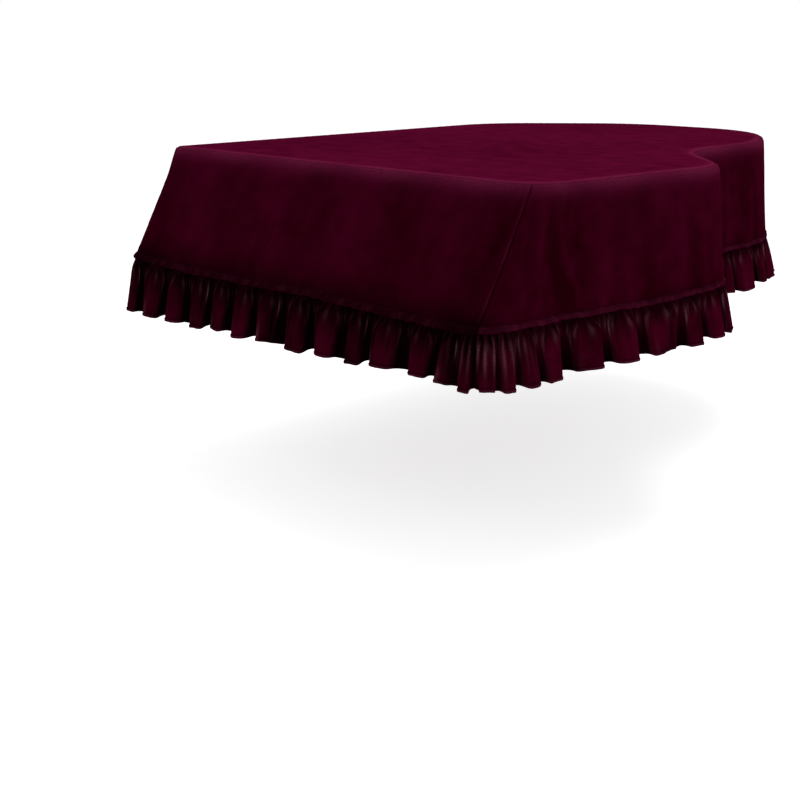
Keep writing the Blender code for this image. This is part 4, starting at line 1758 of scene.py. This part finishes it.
@dataclass(frozen=True)
class Studio:
    """A pale floor, soft light from above and the camera at the photograph's angle."""

    floor_height: float = -1.02
    camera_place: tuple[float, float, float] = (2.7047, -3.3454, 0.3594)
    camera_yaw: float = math.radians(45.33)
    camera_pitch: float = math.radians(16.13)
    camera_lens: float = 57.735

    def add_floor(self) -> None:
        """A wide pale floor below the cover, at the level that a piano stands on."""
        bpy.ops.object.select_all(action="DESELECT")
        bpy.ops.mesh.primitive_circle_add(
            vertices=96, radius=40.0, fill_type="NGON", location=(0, 0, self.floor_height)
        )
        floor = bpy.context.active_object
        floor.name = "floor"
        bpy.ops.object.transform_apply(location=True)
        material = bpy.data.materials.new("pale floor")
        material.use_nodes = True
        shader = material.node_tree.nodes["Principled BSDF"].inputs
        shader["Base Color"].default_value = (0.80, 0.80, 0.80, 1.0)
        shader["Roughness"].default_value = 0.9
        shader["Specular IOR Level"].default_value = 0.0
        shader["Emission Color"].default_value = (1.0, 1.0, 1.0, 1.0)
        shader["Emission Strength"].default_value = 0.72
        floor.data.materials.append(material)

    def add_world(self) -> None:
        """A soft surround, brighter above than below, that shows as white behind the cover."""
        world = bpy.data.worlds.new("studio surround")
        bpy.context.scene.world = world
        world.use_nodes = True
        nodes, links = world.node_tree.nodes, world.node_tree.links
        place = nodes.new("ShaderNodeTexCoord")
        split = nodes.new("ShaderNodeSeparateXYZ")
        levels = nodes.new("ShaderNodeMapRange")
        levels.inputs["From Min"].default_value = -0.2
        levels.inputs["From Max"].default_value = 0.9
        levels.inputs["To Min"].default_value = 0.26
        levels.inputs["To Max"].default_value = 0.52
        seen = nodes.new("ShaderNodeMix")
        seen.inputs["B"].default_value = 1.0
        rays = nodes.new("ShaderNodeLightPath")
        links.new(place.outputs["Generated"], split.inputs["Vector"])
        links.new(split.outputs["Z"], levels.inputs["Value"])
        links.new(rays.outputs["Is Camera Ray"], seen.inputs["Factor"])
        links.new(levels.outputs["Result"], seen.inputs["A"])
        links.new(seen.outputs["Result"], nodes["Background"].inputs["Strength"])
        nodes["Background"].inputs["Color"].default_value = (1.0, 1.0, 1.0, 1.0)

    def add_light(self, name: str, place: tuple[float, float, float], size: float, power: float) -> None:
        """A soft square light that faces the cover.

        Args:
            name: The light's name.
            place: Where it stands.
            size: The length of its sides.
            power: Its power in watts.
        """
        light = bpy.data.lights.new(name, "AREA")
        light.shape = "SQUARE"
        light.size = size
        light.energy = power
        lamp = bpy.data.objects.new(name, light)
        bpy.context.scene.collection.objects.link(lamp)
        direction = -np.array(place) + np.array([0.0, 0.0, -0.15])
        length = float(np.linalg.norm(direction))
        lamp.location = place
        lamp.rotation_euler = (
            math.acos(-direction[2] / length),
            0.0,
            math.atan2(direction[1], direction[0]) - math.pi / 2,
        )

    def add_camera(self) -> None:
        """The camera, from the photograph's place."""
        camera = bpy.data.cameras.new("camera")
        camera.sensor_width = 36.0
        camera.lens = self.camera_lens
        holder = bpy.data.objects.new("camera", camera)
        bpy.context.scene.collection.objects.link(holder)
        holder.location = self.camera_place
        holder.rotation_euler = (math.pi / 2 - self.camera_pitch, 0.0, self.camera_yaw)
        bpy.context.scene.camera = holder

    def build(self) -> None:
        """The whole studio."""
        self.add_camera()
        self.add_floor()
        self.add_world()
        for name, place, size, power in STUDIO_LIGHTS:
            self.add_light(name, place, size, power)
        bpy.context.scene.view_settings.view_transform = "Standard"


# Painted light: the top's velvet is a lighter copy of the drops' velvet, as if lit from above.
LIT_TOP_VELVET = Velvet("top velvet painted lighter", deep=(0.040, 0.0006, 0.0076, 1.0), lit=(0.088, 0.0026, 0.0220, 1.0))
DROP_VELVET = Velvet(
    "drop velvet",
    deep=(0.0150, 0.0001, 0.0023, 1.0),
    lit=(0.0420, 0.0004, 0.0086, 1.0),
    mottle=0.62,
    streaks=(24.0, 4.0),
)
RUFFLE_VELVET = Velvet(
    "ruffle velvet",
    deep=(0.0130, 0.0002, 0.0024, 1.0),
    lit=(0.0460, 0.0007, 0.0088, 1.0),
    # A greyer pale tone for the painted highlights at the pleats' edges, with some rub.
    worn_and_lit=(0.185, 0.074, 0.096, 1.0),
    streaks=(60.0, 9.0),
)
DROP_FLATS = {Place.FRONT: (0.41, 1.50), Place.BENTSIDE: (0.36, 3.70), Place.SPINE: (0.36, 1.47)}
RUFFLE_FLATS = {Place.FRONT: (0.155, 2.35), Place.BENTSIDE: (0.145, 5.80), Place.SPINE: (0.152, 2.30)}
PLEATS = {Place.FRONT: FRONT_PLEATS, Place.BENTSIDE: SIDE_PLEATS, Place.SPINE: ()}


def main() -> None:
    """Build the cover's pieces in order, then the studio."""
    logging.basicConfig(level=logging.INFO, format="%(message)s")
    walls = Walls()
    LOG.info("hem %.3f m, far seam %.3f, tail seam %.3f", walls.girth, walls.far, walls.tail)
    backing = Backing().material()
    drop_finishes = [DROP_VELVET.material(), backing]
    ruffle_finishes = [RUFFLE_VELVET.material(), backing]
    thread = Thread().material()
    TopPanel(walls, [LIT_TOP_VELVET.material(), backing]).build()
    for place in Place:
        Drop(walls, place, drop_finishes, DROP_FLATS[place]).build()
        Ruffle(walls, place, PLEATS[place], ruffle_finishes, RUFFLE_FLATS[place]).build()
        HemStitches(walls, place, thread).build()
    Studio().build()


if __name__ == "__main__":
    main()
